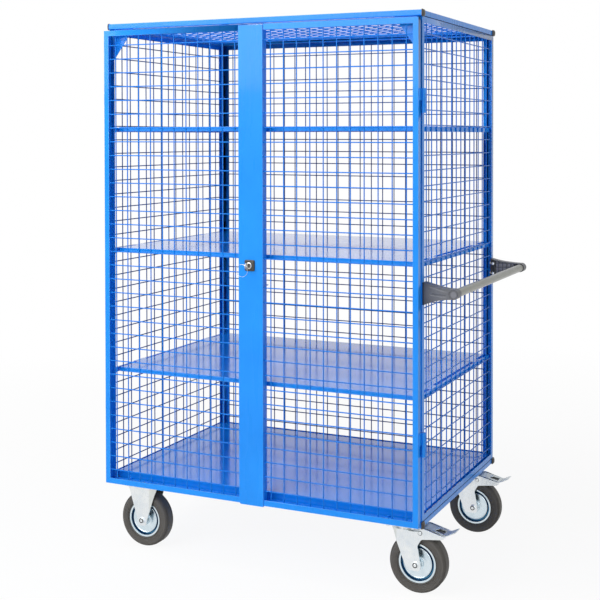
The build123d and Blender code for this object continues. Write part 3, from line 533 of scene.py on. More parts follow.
def shell(name, rings, finishes, angle, bands=None):
    """A closed shell over rings of places; bands gives the finish between each two rings."""
    shape = bmesh.new()
    bands = bands or [0] * (len(rings) - 1)
    loops = [[shape.verts.new(place) for place in ring] for ring in rings]
    for band, here, there in zip(bands, loops, loops[1:]):
        bridge(shape, here, there, [band] * len(here))
    shape.faces.new(loops[0]).material_index = bands[0]
    shape.faces.new(loops[-1]).material_index = bands[-1]
    return closed(name, shape, finishes, angle)


def lofted(rings, finishes, angle, bands=None):
    """A closed shell over rings of places in cage millimetres."""
    placed = [[at(*place) for place in ring] for ring in rings]
    return shell("lofted", placed, finishes, angle, bands)


# Geometry trees


def growing_tree(name, sizes):
    """A geometry tree with named inputs, and the sockets that give their values."""
    tree = bpy.data.node_groups.new(name, "GeometryNodeTree")
    for label, kind in sizes.items():
        tree.interface.new_socket(label, in_out="INPUT", socket_type="NodeSocket" + kind)
    tree.interface.new_socket("Geometry", in_out="OUTPUT", socket_type="NodeSocketGeometry")
    return tree, tree.nodes.new("NodeGroupInput").outputs


def on_points(tree, points, instance, **more):
    inputs = {"Points": points, "Instance": instance, **more}
    return add_node(tree, "GeometryNodeInstanceOnPoints", inputs).outputs["Instances"]


def joined(tree, parts):
    join = tree.nodes.new("GeometryNodeJoinGeometry")
    for part in parts:
        tree.links.new(part, join.inputs[0])
    return join.outputs[0]


def end_tree(tree, instances, material):
    """The end of a tree: its instances made real and given their finish."""
    real = add_node(tree, "GeometryNodeRealizeInstances", {0: instances})
    inputs = {"Geometry": real.outputs[0], "Material": material}
    shown = add_node(tree, "GeometryNodeSetMaterial", inputs)
    connect(tree, tree.nodes.new("NodeGroupOutput"), {"Geometry": shown.outputs["Geometry"]})
    return tree


def welded_mesh_tree():
    """Rows along X, columns along Y one wire deeper, and a weld where they cross."""
    sizes = {
        "Wire Radius": "Float",
        "Row Length": "Float",
        "Column Length": "Float",
        "Row Start": "Vector",
        "Column Start": "Vector",
        "Row Middle": "Float",
        "Column Middle": "Float",
        "Rows": "Int",
        "Columns": "Int",
        "Pitch": "Float",
        "Weld Lift": "Float",
        "Finish": "Material",
    }
    tree, given = growing_tree("welded mesh", sizes)
    wire_sides = 10
    weld_shape = (0.95, 0.95, 0.6)
    quarter = pi / 2

    def vector(x=0.0, y=0.0, z=0.0):
        return add_node(tree, "ShaderNodeCombineXYZ", {"X": x, "Y": y, "Z": z}).outputs[0]

    def line(count, start, offset):
        inputs = {"Count": count, "Start Location": start, "Offset": offset}
        return add_node(tree, "GeometryNodeMeshLine", inputs).outputs["Mesh"]

    def wires(points, middle, length, turn):
        inputs = {"Vertices": wire_sides, "Radius": given["Wire Radius"], "Depth": length}
        bar = add_node(tree, "GeometryNodeMeshCylinder", inputs).outputs["Mesh"]
        inputs = {"Geometry": bar, "Translation": middle, "Rotation": turn}
        laid = add_node(tree, "GeometryNodeTransform", inputs)
        return on_points(tree, points, laid.outputs["Geometry"])

    row_line = line(given["Rows"], given["Row Start"], vector(y=given["Pitch"]))
    column_line = line(given["Columns"], given["Column Start"], vector(x=given["Pitch"]))
    row_middle = vector(x=given["Row Middle"])
    column_middle = vector(y=given["Column Middle"])
    rows = wires(row_line, row_middle, given["Row Length"], (0, quarter, 0))
    columns = wires(column_line, column_middle, given["Column Length"], (quarter, 0, 0))
    grid = on_points(tree, column_line, row_line)
    crossings = add_node(tree, "GeometryNodeRealizeInstances", {0: grid}).outputs[0]
    inputs = {"Geometry": crossings, "Offset": vector(z=given["Weld Lift"])}
    lifted = add_node(tree, "GeometryNodeSetPosition", inputs).outputs["Geometry"]
    inputs = {"Radius": given["Wire Radius"], "Subdivisions": 1}
    nugget = add_node(tree, "GeometryNodeMeshIcoSphere", inputs).outputs["Mesh"]
    nuggets = on_points(tree, lifted, nugget, Scale=weld_shape)
    return end_tree(tree, joined(tree, (rows, columns, nuggets)), given["Finish"])


def fastener_tree():
    """A hexagon on its washer, with a round cap and a stud end, set on every point."""
    sizes = {
        "Places": "Geometry",
        "Across": "Float",
        "Height": "Float",
        "Washer Radius": "Float",
        "Stud Radius": "Float",
        "Turn": "Vector",
        "Finish": "Material",
    }
    tree, given = growing_tree("hex fastener", sizes)

    def times(value, share):
        return calc(tree, "MULTIPLY", value, share)

    def disc(sides, bottom, top, low, high):
        inputs = {
            "Vertices": sides,
            "Radius Bottom": bottom,
            "Radius Top": top,
            "Depth": times(given["Height"], high - low),
        }
        body = add_node(tree, "GeometryNodeMeshCone", inputs).outputs["Mesh"]
        lift = add_node(tree, "ShaderNodeCombineXYZ", {"Z": times(given["Height"], low)})
        inputs = {"Geometry": body, "Translation": lift.outputs[0]}
        return add_node(tree, "GeometryNodeTransform", inputs).outputs["Geometry"]

    # Tops of washer, hexagon and cap as shares of the height
    washer_top, hexagon_top, cap_top = 0.18, 0.76, 0.88
    corner = times(given["Across"], 0.577)
    flat = times(given["Across"], 0.49)
    washer = given["Washer Radius"]
    stud = given["Stud Radius"]
    parts = (
        disc(20, washer, times(washer, 0.96), 0.0, washer_top),
        disc(6, corner, corner, washer_top, hexagon_top),
        disc(20, flat, times(flat, 0.86), hexagon_top, cap_top),
        disc(12, stud, times(stud, 0.8), cap_top, 1.0),
    )
    whole = joined(tree, parts)
    turn = add_node(tree, "FunctionNodeEulerToRotation", {"Euler": given["Turn"]})
    many = on_points(tree, given["Places"], whole, Rotation=turn.outputs["Rotation"])
    return end_tree(tree, many, given["Finish"])


def bead_tree():
    """Overlapping ripples of a weld along every edge of the start mesh."""
    sizes = {
        "Seams": "Geometry",
        "Bead Radius": "Float",
        "Ripple Step": "Float",
        "Finish": "Material",
    }
    tree, given = growing_tree("weld bead", sizes)
    path = add_node(tree, "GeometryNodeMeshToCurve", {"Mesh": given["Seams"]})
    inputs = {"Curve": path.outputs["Curve"], "Length": given["Ripple Step"]}
    steps = add_node(tree, "GeometryNodeResampleCurve", inputs, mode="LENGTH")
    inputs = {"Radius": given["Bead Radius"], "Subdivisions": 2}
    ripple = add_node(tree, "GeometryNodeMeshIcoSphere", inputs)
    many = on_points(tree, steps.outputs["Curve"], ripple.outputs["Mesh"])
    return end_tree(tree, many, given["Finish"])


WELDED_MESH = welded_mesh_tree()
HEX_FASTENER = fastener_tree()
WELD_BEAD = bead_tree()


def grown(tree, values, start=None):
    """The plain mesh that a geometry tree makes from named values, on a start mesh or on none."""
    source = linked("grown", start or bpy.data.meshes.new("grown"))
    modifier = source.modifiers.new("grow", "NODES")
    modifier.node_group = tree
    for item in tree.interface.items_tree:
        if item.in_out == "INPUT" and item.name in values:
            modifier[item.identifier] = values[item.name]
    bpy.context.view_layer.update()
    return in_one_finish(settled(source), values["Finish"])


# Welded wire mesh


def wire_panel(node, plane, columns, rows, x_range, y_range, depth=ANGLE_WALL, material=WIRE_BLUE):
    """Welded mesh in a panel's plane, from the first and number of its columns and rows."""
    values = {
        "Wire Radius": WIRE / 2 * MM,
        "Row Length": (x_range[1] - x_range[0]) * MM,
        "Column Length": (y_range[1] - y_range[0]) * MM,
        "Row Start": Vector((0, rows[0], depth + WIRE / 2)) * MM,
        "Column Start": Vector((columns[0], 0, depth + 1.5 * WIRE)) * MM,
        "Row Middle": (x_range[0] + x_range[1]) / 2 * MM,
        "Column Middle": (y_range[0] + y_range[1]) / 2 * MM,
        "Rows": rows[1],
        "Columns": columns[1],
        "Pitch": PITCH * MM,
        "Weld Lift": -(depth + WIRE) * MM,
        "Finish": material,
    }
    mesh = grown(WELDED_MESH, values)
    mesh.transform(plane)
    stand_in(node, "_wires", smooth(mesh, 40))


def plane_of(origin, x_dir, z_dir):
    """Matrix of a panel's plane: its own X, its own Z into the cage, and its origin."""
    x, z = Vector(x_dir), Vector(z_dir)
    turn = Matrix((x, z.cross(x), z)).transposed()
    return Matrix.Translation(at(*origin)) @ turn.to_4x4()


def framed_run(span, first):
    """First place and number of wires inside a frame, one pitch apart."""
    start = -span / 2 + first
    stop = span / 2 - ANGLE - WIRE
    return start, int((stop - start) // PITCH) + 1


def centred_run(span):
    count = int(span // PITCH)
    return -count / 2 * PITCH, count + 1


def mirrored(wires):
    """The same wires, counted from the other edge."""
    first, count = wires
    return -first - (count - 1) * PITCH, count


def free(span):
    """Ends of the wires, lapped on the flanges of a frame."""
    return (-span / 2 + ANGLE - WIRE_LAP, span / 2 - ANGLE + WIRE_LAP)


def dress_meshes():
    height = PANEL_HIGH - PANEL_LOW
    depth = PANEL_REAR - PANEL_FRONT
    level = (PANEL_LOW + PANEL_HIGH) / 2
    rows = framed_run(height, PANEL_FIRST_ROW)
    columns = framed_run(depth, SIDE_FIRST_COLUMN)
    ends = (free(depth), free(height))
    right = plane_of((HALF, DEPTH_MIDDLE, level), (0, -1, 0), (-1, 0, 0))
    wire_panel("right_panel_mesh", right, mirrored(columns), rows, *ends)
    left = plane_of((-HALF, DEPTH_MIDDLE, level), (0, 1, 0), (1, 0, 0))
    # The left and back panels' wires take the darker blue of painted shade
    wire_panel("left_panel_mesh", left, columns, rows, *ends, material=SHADED_WIRE_BLUE)
    back = plane_of((0, PANEL_REAR, level), (1, 0, 0), (0, -1, 0))
    columns = centred_run(2 * BACK_HALF - 2 * ANGLE)
    ends = (free(2 * BACK_HALF), free(height))
    wire_panel("back_panel_mesh", back, columns, rows, *ends, material=SHADED_WIRE_BLUE)

    roof_x = HALF - TUBE
    roof_y = (FRAME_REAR - FRAME_FRONT) / 2 - TUBE
    roof = plane_of((0, DEPTH_MIDDLE, PANEL_HIGH + TUBE / 2 - WIRE), (1, 0, 0), (0, 0, 1))
    columns = centred_run(2 * roof_x - 2 * WIRE)
    rows = centred_run(2 * roof_y - 2 * WIRE)
    wire_panel("roof_mesh", roof, columns, rows, (-roof_x, roof_x), (-roof_y, roof_y), 0.0)

    tall = DOOR_HIGH - DOOR_LOW
    level = (DOOR_LOW + DOOR_HIGH) / 2
    rows = framed_run(tall, DOOR_FIRST_ROW)
    width = HALF - MEETING_EDGE
    door = plane_of((-(HALF + MEETING_EDGE) / 2, 0, level), (-1, 0, 0), (0, 1, 0))
    columns = framed_run(width, LEFT_DOOR_FIRST_COLUMN)
    wire_panel("left_door_mesh", door, columns, rows, free(width), free(tall))
    width = HALF - COVER_RIGHT
    door = plane_of(((HALF + COVER_RIGHT) / 2, 0, level), (-1, 0, 0), (0, 1, 0))
    columns = mirrored(framed_run(width, RIGHT_DOOR_FIRST_COLUMN))
    to_cover = (free(width)[0], width / 2)
    wire_panel("right_door_mesh", door, columns, rows, to_cover, free(tall))


# Wheels

WHEEL_SEGMENTS = 96


def tyre_section():
    """Solid tyre: flat tread, fine ridges round the shoulder, ribbed side wall and bead."""
    points = [(100.0, 9.0)]
    for degrees in (4, 15, 26, 37, 48, 59):
        for step, depth in ((-3.0, 0.0), (-2.0, 0.8), (2.0, 0.8), (3.0, 0.0)):
            turn = radians(degrees + step)
            reach = 13.0 - depth
            points.append((87.0 + reach * cos(turn), 12.0 + reach * sin(turn)))
    points += [(92.0, 24.0), (89.0, 24.8)]
    for radius in (86.0, 81.0, 77.0, 74.4):
        points += [(radius, 25.0), (radius - 0.5, 24.3), (radius - 1.3, 24.3), (radius - 1.8, 25.0)]
    points += [(71.4, 25.0), (70.9, 24.4), (70.6, 21.8), (69.4, 21.8), (69.0, 24.2), (68.0, 24.2)]
    points += [(66.9, 23.2), (66.1, 21.6), (66.05, 17.0), (62.05, 17.0)]
    return points


def rim_section():
    """Pressed rim: rolled lip, groove, bead, shallow dish and hub. Bands mark the groove, whose dark
    blue is a painted reflection of the blue cage and painted shade.
    """
    points = [(62.0, 16.9), (66.0, 16.9), (66.0, 20.4), (65.5, 21.2), (64.6, 21.5), (60.9, 21.5)]
    points += [(59.7, 21.1), (59.0, 19.8), (58.6, 16.5), (58.3, 10.5), (57.4, 8.8), (55.0, 8.5)]
    points += [(52.8, 8.8), (51.8, 10.4), (51.2, 15.6), (50.6, 17.0), (49.6, 17.6), (48.4, 17.5)]
    points += [(47.4, 16.7), (40.0, 16.2), (30.0, 15.4), (23.6, 15.2), (22.4, 15.8), (21.6, 17.4)]
    points += [(21.0, 22.0), (20.2, 23.2), (18.8, 23.6), (15.0, 23.8), (14.2, 24.6), (13.8, 29.4)]
    points += [(13.2, 29.9), (6.1, 29.9)]
    bands = [1 if 8 <= i <= 13 else 0 for i in range(len(points) - 1)]
    return points, bands


def dress_wheels():
    tyre_profile, _ = both_sides(tyre_section())
    rim_profile, rim_bands = both_sides(*rim_section())
    rim_finish = [RIM_ZINC, GROOVE_REFLECTION_BLUE]
    for corner, (x, y) in WHEELS.items():
        centre = at(x, y, AXLE_HEIGHT)
        tyre = turned(tyre_profile, centre, WHEEL_SEGMENTS, [TYRE_RUBBER])
        stand_in(f"{corner}_tyre", "_turned", tyre)
        rim = turned(rim_profile, centre, WHEEL_SEGMENTS, rim_finish, rim_bands)
        stand_in(f"{corner}_rim", "_turned", rim)


# Fasteners and welds

UP = (0.0, 0.0, 0.0)
DOWN = (pi, 0.0, 0.0)
TO_FRONT = (pi / 2, 0.0, 0.0)
TO_REAR = (-pi / 2, 0.0, 0.0)

# Width across flats, height, washer radius and stud radius of each kind of hexagon
AXLE_NUT = (19.0, 6.6, 11.5, 5.0)
CASTER_HEAD = (13.0, 5.3, 7.6, 3.0)
CASTER_NUT = (13.0, 5.3, 7.6, 4.0)
ARM_SCREW = (9.0, 3.0, 5.4, 2.0)
LOCK_NUT = (23.4, 6.2, 13.5, 9.9)

# Middles of the weld beads on a gusset's upright edge and, inward from the post, on its top edge
GUSSET_BEADS = (1785.0, 1830.0, 1875.0)
ROOF_BEADS = (35.0, 75.0)
BEAD_RADIUS, BEAD_HALF, BEAD_SUNK, BEAD_INSET = 1.5, 9.0, 0.5, 2.0


def places_mesh(places, edges=()):
    mesh = bpy.data.meshes.new("places")
    mesh.from_pydata([at(*place) for place in places], edges, [])
    return mesh


def fasteners(places, sizes, turn, material):
    """Hexagons at places given in cage millimetres."""
    across, height, washer, stud = sizes
    values = {
        "Across": across * MM,
        "Height": height * MM,
        "Washer Radius": washer * MM,
        "Stud Radius": stud * MM,
        "Turn": turn,
        "Finish": material,
    }
    return smooth(grown(HEX_FASTENER, values, places_mesh(places)), 32)


def welds(seams, radius):
    """Weld beads along straight seams given by their two ends in cage millimetres."""
    ends = [end for seam in seams for end in seam]
    edges = [(i, i + 1) for i in range(0, len(ends), 2)]
    values = {"Bead Radius": radius * MM, "Ripple Step": radius * 1.1 * MM, "Finish": FRAME_BLUE}
    return smooth(grown(WELD_BEAD, values, places_mesh(ends, edges)), 60)


def dress_welds():
    """Beads where the side tubes meet the long tubes, and where the gussets meet their posts."""
    seams = []
    back = PANEL_FRONT + 2 * ANGLE_WALL
    top = PANEL_HIGH - BEAD_SUNK
    for x in (-HALF, HALF):
        inward = -copysign(1.0, x)
        for y in (FRAME_FRONT + TUBE, FRAME_REAR - TUBE):
            for low in (PANEL_LOW - TUBE, PANEL_HIGH):
                for face in (x + inward * BEAD_SUNK, x + inward * (TUBE - BEAD_SUNK)):
                    seams.append(((face, y, low + BEAD_INSET), (face, y, low + TUBE - BEAD_INSET)))
        edge = x + inward * (ANGLE_WALL + BEAD_SUNK)
        for z in GUSSET_BEADS:
            seams.append(((edge, back, z - BEAD_HALF), (edge, back, z + BEAD_HALF)))
        for reach in ROOF_BEADS:
            along = x + inward * reach
            seams.append(((along - BEAD_HALF, back, top), (along + BEAD_HALF, back, top)))
    beads = welds(seams, BEAD_RADIUS)
    new_piece("frame_welds", beads, body_of("base_frame"), slots["base_frame"])


# Frames and sheets

# Dark strip of painted shade in the groove where the side panels meet the tubes: rise over the face,
# depth, half widths at the face and at the bottom
JOINT_PROUD, JOINT_DEEP, JOINT_HALF, JOINT_FOOT = 0.2, 1.6, 1.4, 0.6
# Dark strip of painted shade in the gap beside the back panel: from the panel's edge, how far it
# starts and stops
GAP_START, GAP_STOP = 0.02, 0.42


def plug_shell(x, y, z):
    """Domed plug on the end of a square tube; X is that end, and its sign the side."""
    side = copysign(1.0, x)
    steps = ((0.02, 11.7, 9), (2.2, 11.8, 9), (3.2, 11.3, 7), (4.6, 10.5, 5), (6.0, 9.0, 3.6))
    steps += ((7.0, 7.0, 2.8), (7.7, 4.4, 2.4), (8.0, 1.6, 2.1))
    rings = []
    for rise, half, power in steps:
        ring = soft_outline(half, half, power, 32)
        rings.append([(x + side * rise, y + u, z + v) for u, v in ring])
    return lofted(rings, [PLUG_DARK], 50)


def dress_frames():
    # The broken edges of frames and sheets take the lighter blue, partly thinner paint and partly a
    # painted highlight
    frame_finish = [FRAME_BLUE, EDGE_THINNING_AND_HIGHLIGHT_BLUE]
    sheet_finish = [SHEET_BLUE, EDGE_THINNING_AND_HIGHLIGHT_BLUE]
    for node in ("base_frame", "roof_frame"):
        rounded(node, frame_finish, FRAME_EDGE)
    for side in ("left", "right", "back"):
        rounded(f"{side}_panel_frame", frame_finish, PANEL_EDGE)
    for node in ("left_door_frame", "right_door_frame"):
        rounded(node, frame_finish, FRAME_EDGE)
    for node in ("front_gussets", "shelf_rails", "left_caster_channel", "right_caster_channel"):
        rounded(node, frame_finish, SHEET_EDGE)
    for hinge_half in ("post_hinges", "door_knuckles"):
        for side in ("left", "right"):
            rounded(f"{side}_{hinge_half}", frame_finish, SHEET_EDGE)
    rounded("cover_plate", frame_finish, SHEET_EDGE)
    for node in ("base_deck", "bottom_shelf", "middle_shelf", "top_shelf"):
        rounded(node, sheet_finish, SHEET_EDGE)
    shells = []
    for x in (-HALF, HALF):
        for y in (FRAME_FRONT + TUBE / 2, FRAME_REAR - TUBE / 2):
            for z in (PANEL_LOW - TUBE / 2, PANEL_HIGH + TUBE / 2):
                shells.append(plug_shell(x, y, z))
    stand_in("frame_plugs", "_domed", together(*shells))


def dress_shade_strips():
    """Dark strips of painted shade in the joints round the side panels: at the tubes and at the back
    panel.
    """
    strips = []
    front, rear = PANEL_REAR - ANGLE + 0.6, PANEL_REAR - 0.4
    for x in (-HALF, HALF):
        side = copysign(1.0, x)
        proud, deep = x + side * JOINT_PROUD, x - side * JOINT_DEEP
        for z in (PANEL_LOW + 0.2, PANEL_HIGH - 0.2):
            corners = ((proud, z - JOINT_HALF), (proud, z + JOINT_HALF))
            corners += ((deep, z + JOINT_FOOT), (deep, z - JOINT_FOOT))
            rings = []
            for along in (PANEL_FRONT + 1.0, DEPTH_MIDDLE, PANEL_REAR - 1.0):
                rings.append([(across, along, up) for across, up in corners])
            strips.append(lofted(rings, [SHADE_STRIP_BLUE], 40))
        near, far = side * (BACK_HALF + GAP_START), side * (BACK_HALF + GAP_STOP)
        rings = []
        for z in (PANEL_LOW + 1.0, (PANEL_LOW + PANEL_HIGH) / 2, PANEL_HIGH - 1.0):
            rings.append([(near, front, z), (far, front, z), (far, rear, z), (near, rear, z)])
        strips.append(lofted(rings, [SHADE_STRIP_BLUE], 40))
    new_piece("panel_shade_strips", together(*strips), body_of("base_frame"), slots["base_frame"])


# Casters

SMALL_SEGMENTS = 32

# X, rise over the sheet and half width along the pedal's tab, and its thickness
TAB_STEPS = (
    (644.0, -1.2, 9.5),
    (646.5, 0.6, 9.5),
    (649.5, 2.4, 9.0),
    (653.0, 3.6, 8.0),
    (656.5, 4.2, 6.5),
)
TAB_THICK = 1.5
# X, half width and drop of the side edges along the brake pad, drops being from the sheet's top
PAD_STEPS = ((646.5, 15.0, 7.2), (650.0, 17.5, 6.0), (672.0, 20.0, 6.0), (677.0, 20.0, 7.2))
# Drop of the pad's top, how much narrower it is on each side, and the thickness in the middle
PAD_DROP, PAD_SLOPE, PAD_THICK = 4.6, 1.5, 3.4


def axle_section():
    """Half the axle from its middle out: shaft, spacer, dark ring of the lock nut and stud end."""
    points = [(5.9, 29.95), (9.4, 30.05), (9.4, 31.95), (5.9, 32.05), (5.9, 36.1), (8.7, 36.2)]
    points += [(8.7, 42.2), (8.0, 42.7), (5.9, 42.7), (5.7, 41.6), (5.1, 41.6), (5.1, 42.6)]
    points += [(4.4, 43.0), (0.2, 43.0)]
    bands = [1 if 5 <= i <= 9 else 0 for i in range(len(points) - 1)]
    return points, bands


def rivet_section():
    """Pedal rivet from the fork's face out: dark washer and a bright domed head."""
    points = [(0.2, 36.25), (7.6, 36.25), (7.6, 36.9), (7.2, 37.2), (6.1, 37.2), (5.6, 38.2)]
    points += [(4.4, 38.8), (0.2, 39.1)]
    return points, [1, 1, 1, 1, 0, 0, 0, 0]


def pedal_sheet_top(x):
    """Height of the pedal's upper face at X."""
    return PEDAL_START[1] - (x - PEDAL_START[0]) * PEDAL_FALL


def pedal_tab(middle):
    """Bright lip bent up out of the pedal, over the inner end of its window."""
    rings = []
    for x, rise, half in TAB_STEPS:
        low = pedal_sheet_top(x) + rise
        high = low + TAB_THICK
        corners = ((-half, low), (half, low), (half, high), (-half, high))
        rings.append([(x, middle + v, z) for v, z in corners])
    return lofted(rings, [ZINC], 35)


def brake_pad(middle):
    """Black pad held under the pedal's window, waisted like the window above it."""
    rings = []
    for x, half, drop in PAD_STEPS:
        sheet = pedal_sheet_top(x)
        top, low = sheet - PAD_DROP, sheet - drop
        inner = half - PAD_SLOPE
        corners = ((-half, low), (-inner, top), (inner, top), (half, low), (0, top - PAD_THICK))
        rings.append([(x, middle + v, z) for v, z in corners])
    return lofted(rings, [BLACK], 40)


def folded(node):
    """A fork whose folded sides, a little aslant to the wheel, take the second finish: a darker zinc,
    partly the duller plating of bent zones and partly painted shade.
    """
    shape = merged(node)
    for face in shape.faces:
        if 0.5 < abs(face.normal.y) < 0.995:
            face.material_index = 1
    return shape


def slim_pin(node):
    """The pedal with its pin a little thinner, so that the facets turn freely in the fork."""
    shape = merged(node)
    pivot = at(PEDAL_PIVOT[0], 0, PEDAL_PIVOT[1])
    near, thinner = 0.1 * MM, 0.08
    for vertex in shape.verts:
        reach = vertex.co - pivot
        reach.y = 0
        if abs(reach.length - PEDAL_PIN * MM) < near:
            vertex.co -= reach * thinner
    return shape


def dress_brake(end):
    pedal = f"{end}_right_brake_pedal"
    # The pedal's body takes the darker zinc of a painted reflection; its broken edges stay bright zinc
    rounded(pedal, [PEDAL_REFLECTION_ZINC, ZINC], SHEET_EDGE, creases=True, shape=slim_pin(pedal))
    middle = WHEELS[f"{end}_right"][1]
    centre = at(PEDAL_PIVOT[0], middle, PEDAL_PIVOT[1])
    profile, bands = rivet_section()
    rivets = []
    for side in (-1, 1):
        head = faced(profile, side)
        rivets.append(turned(head, centre, SMALL_SEGMENTS, [ZINC, DARK_STEEL], bands))
    new_piece(f"{end}_pedal_rivets", together(*rivets), body_of(pedal), "zinc")
    new_piece(f"{end}_pedal_tab", pedal_tab(middle), body_of(pedal), "zinc")
    new_piece(f"{end}_brake_pad", brake_pad(middle), body_of(pedal), "black_plastic")


def caster_bolts():
    """Heads under the caster plates, and nuts on the channels or, painted over, on the tube."""
    heads, low_nuts, high_nuts = [], [], []
    for axis in BOLT_AXES:
        for middle in (WHEELS["front_left"][1], WHEELS["rear_left"][1]):
            for x in (axis - BOLT_SPAN_X / 2, axis + BOLT_SPAN_X / 2):
                for y in (middle - BOLT_SPAN_Y / 2, middle + BOLT_SPAN_Y / 2):
                    heads.append((x, y, PLATE_BOTTOM))
                    if y < FRAME_FRONT + TUBE:
                        high_nuts.append((x, y, PANEL_LOW))
                    else:
                        low_nuts.append((x, y, PLATE_BOTTOM + PLATE_AND_CHANNEL))
    below = fasteners(heads, CASTER_HEAD, DOWN, ZINC)
    above = fasteners(low_nuts, CASTER_NUT, UP, ZINC)
    painted_over = fasteners(high_nuts, CASTER_NUT, UP, FRAME_BLUE)
    return together(below, above, painted_over)


def dress_casters():
    for end in ("front", "rear"):
        for fork in (f"{end}_left_fork", f"{end}_right_fork"):
            rounded(fork, [ZINC, DULL_AND_SHADED_FOLD_ZINC, ZINC], FRAME_EDGE, creases=True, shape=folded(fork))
        rounded(f"{end}_right_swivel_plate", [ZINC], PLATE_EDGE)
        dress_brake(end)
    profile, bands = both_sides(*axle_section())
    for corner, (x, y) in WHEELS.items():
        shaft = turned(profile, at(x, y, AXLE_HEIGHT), SMALL_SEGMENTS, [ZINC, BLACK], bands)
        front = fasteners([(x, y - FORK_HALF, AXLE_HEIGHT)], AXLE_NUT, TO_FRONT, ZINC)
        rear = fasteners([(x, y + FORK_HALF, AXLE_HEIGHT)], AXLE_NUT, TO_REAR, ZINC)
        stand_in(f"{corner}_axle", "_turned", together(shaft, front, rear))
    stand_in("caster_bolts", "_hexed", caster_bolts())


# Push handle

FACING = {"front": 1, "rear": -1}
# Hollows in an arm's outer face: (X, Z) of start and stop, radius of the tool and depth
LOW_SCOOP = ((636.0, 997.0), (709.0, 995.5), 8.0, 1.9)
HIGH_SCOOP = ((634.0, 1024.0), (708.0, 1011.5), 9.0, 1.6)
# Ring groove and sunk disc on an arm's round end; the tools start outside it
GROOVE_INNER, GROOVE_OUTER, GROOVE_DEPTH = 13.3, 15.0, 1.5
DISC_RADIUS, DISC_DEPTH = 10.6, 0.9
OUTSIDE = -1.0
# Half heights of an arm's pockets at its foot and at its round end, and the X where they bend
FOOT_HALF, NECK_HALF = 33.5, 13.2
POCKET_BEND = ARM_START + 0.55 * (HANDLE_X - ARM_START)
# Floor of the pockets: how deep and thick, and the part of the pockets' curved edges it follows
POCKET_DEPTH, FLOOR_THICK, FLOOR_STEPS = 9.0, 1.2, 12
FLOOR_START, FLOOR_SHARE = 0.13, 0.60
# Block in an arm's foot: its middle and half width, and the rise and seat of its screws
INSERT_X, INSERT_HALF = ARM_START + 6.6, 6.2
SCREW_RISE, SCREW_SEAT = 19.0, 69.1


def bezier(points, t):
    """A place on the curve of three or four control points."""
    while len(points) > 1:
        points = [
            tuple((1 - t) * a + t * b for a, b in zip(here, there))
            for here, there in zip(points, points[1:])
        ]
    return points[0]


def arm_curve(start, stop):
    """Plan of one face of the front arm, (X, Y), from its base to its boss."""
    bend = (ARM_START + HANDLE_X) / 2
    return [(ARM_START, start), (bend, start), (bend, stop), (HANDLE_X, stop)]


ARM_OUTSIDE = arm_curve(ARM_OUTER, BOSS_FRONT)
ARM_INSIDE = arm_curve(ARM_OUTER + ARM_BASE_DEPTH, BOSS_FRONT + BOSS_LENGTH)


def along_arm(curve, x):
    """Y of an arm's face at X."""
    low, high = 0.0, 1.0
    for _ in range(30):
        middle = (low + high) / 2
        if bezier(curve, middle)[0] < x:
            low = middle
        else:
            high = middle
    return bezier(curve, low)[1]


def on_arm(end, place):
    """A place on the front arm, or the matching one on the rear arm."""
    x, y, z = place
    return (x, y, z) if end == "front" else (x, 2 * DEPTH_MIDDLE - y, z)


def scoop(end, start, stop, radius, depth):
    """Round-bottomed tool for a long shallow hollow that fades out at both ends."""
    rings = []
    count, sides, clear = 18, 28, 0.15
    for step in range(count + 1):
        share = step / count
        x = start[0] + share * (stop[0] - start[0])
        z = start[1] + share * (stop[1] - start[1])
        fade = min(1.0, 5 * share, 5 * (1 - share))
        y = along_arm(ARM_OUTSIDE, x) - radius + depth * fade - clear
        ring = []
        for turn in turns(sides):
            ring.append(on_arm(end, (x, y + radius * cos(turn), z + radius * sin(turn))))
        rings.append(ring)
    return lofted(rings, [ARM_GREY], 40)


def carved(shape, tool):
    stock = bpy.data.meshes.new("stock")
    shape.to_mesh(stock)
    body, cutter = linked("stock", stock), linked("tool", tool)
    cut = body.modifiers.new("carve", "BOOLEAN")
    cut.operation = "DIFFERENCE"
    cut.solver = "EXACT"
    cut.object = cutter
    bpy.context.view_layer.update()
    shape.clear()
    shape.from_mesh(settled(body))
    bpy.data.objects.remove(cutter)
    return shape


def end_rings(end):
    """Tools for the round end of an arm: a ring groove and a shallow sunk disc inside it."""
    centre = on_arm(end, (HANDLE_X, BOSS_FRONT, HANDLE_Z))
    groove = [(GROOVE_INNER, OUTSIDE), (GROOVE_INNER, GROOVE_DEPTH)]
    groove += [(GROOVE_OUTER, GROOVE_DEPTH), (GROOVE_OUTER, OUTSIDE)]
    outline = soft_outline(DISC_RADIUS, DISC_RADIUS, 2)
    rings = []
    for depth in (OUTSIDE, DISC_DEPTH):
        y = centre[1] + FACING[end] * depth
        rings.append([(HANDLE_X + u, y, HANDLE_Z + v) for u, v in outline])
    disc = lofted(rings, [ARM_GREY], 40)
    return turned(faced(groove, FACING[end]), at(*centre), 48, [ARM_GREY]), disc


def arm_floor(end):
    """Floor of the pockets between the ribs, a little below the arm's inner face, in a much lighter
    grey that paints light into the pockets' shade.
    """
    edges = []
    for side in (-1, 1):
        foot, neck = ARM_MIDDLE + side * FOOT_HALF, HANDLE_Z + side * NECK_HALF
        edges.append([(ARM_START, foot), (POCKET_BEND, neck), (HANDLE_X, neck)])
    rings = []
    for step in range(FLOOR_STEPS + 1):
        t = FLOOR_START + FLOOR_SHARE * step / FLOOR_STEPS
        x, low = bezier(edges[0], t)
        high = bezier(edges[1], t)[1]
        top = along_arm(ARM_INSIDE, x) - POCKET_DEPTH
        under = top - FLOOR_THICK
        corners = ((under, low), (top, low), (top, high), (under, high))
        rings.append([on_arm(end, (x, y, z)) for y, z in corners])
    return lofted(rings, [LIT_POCKET_GREY], 30)


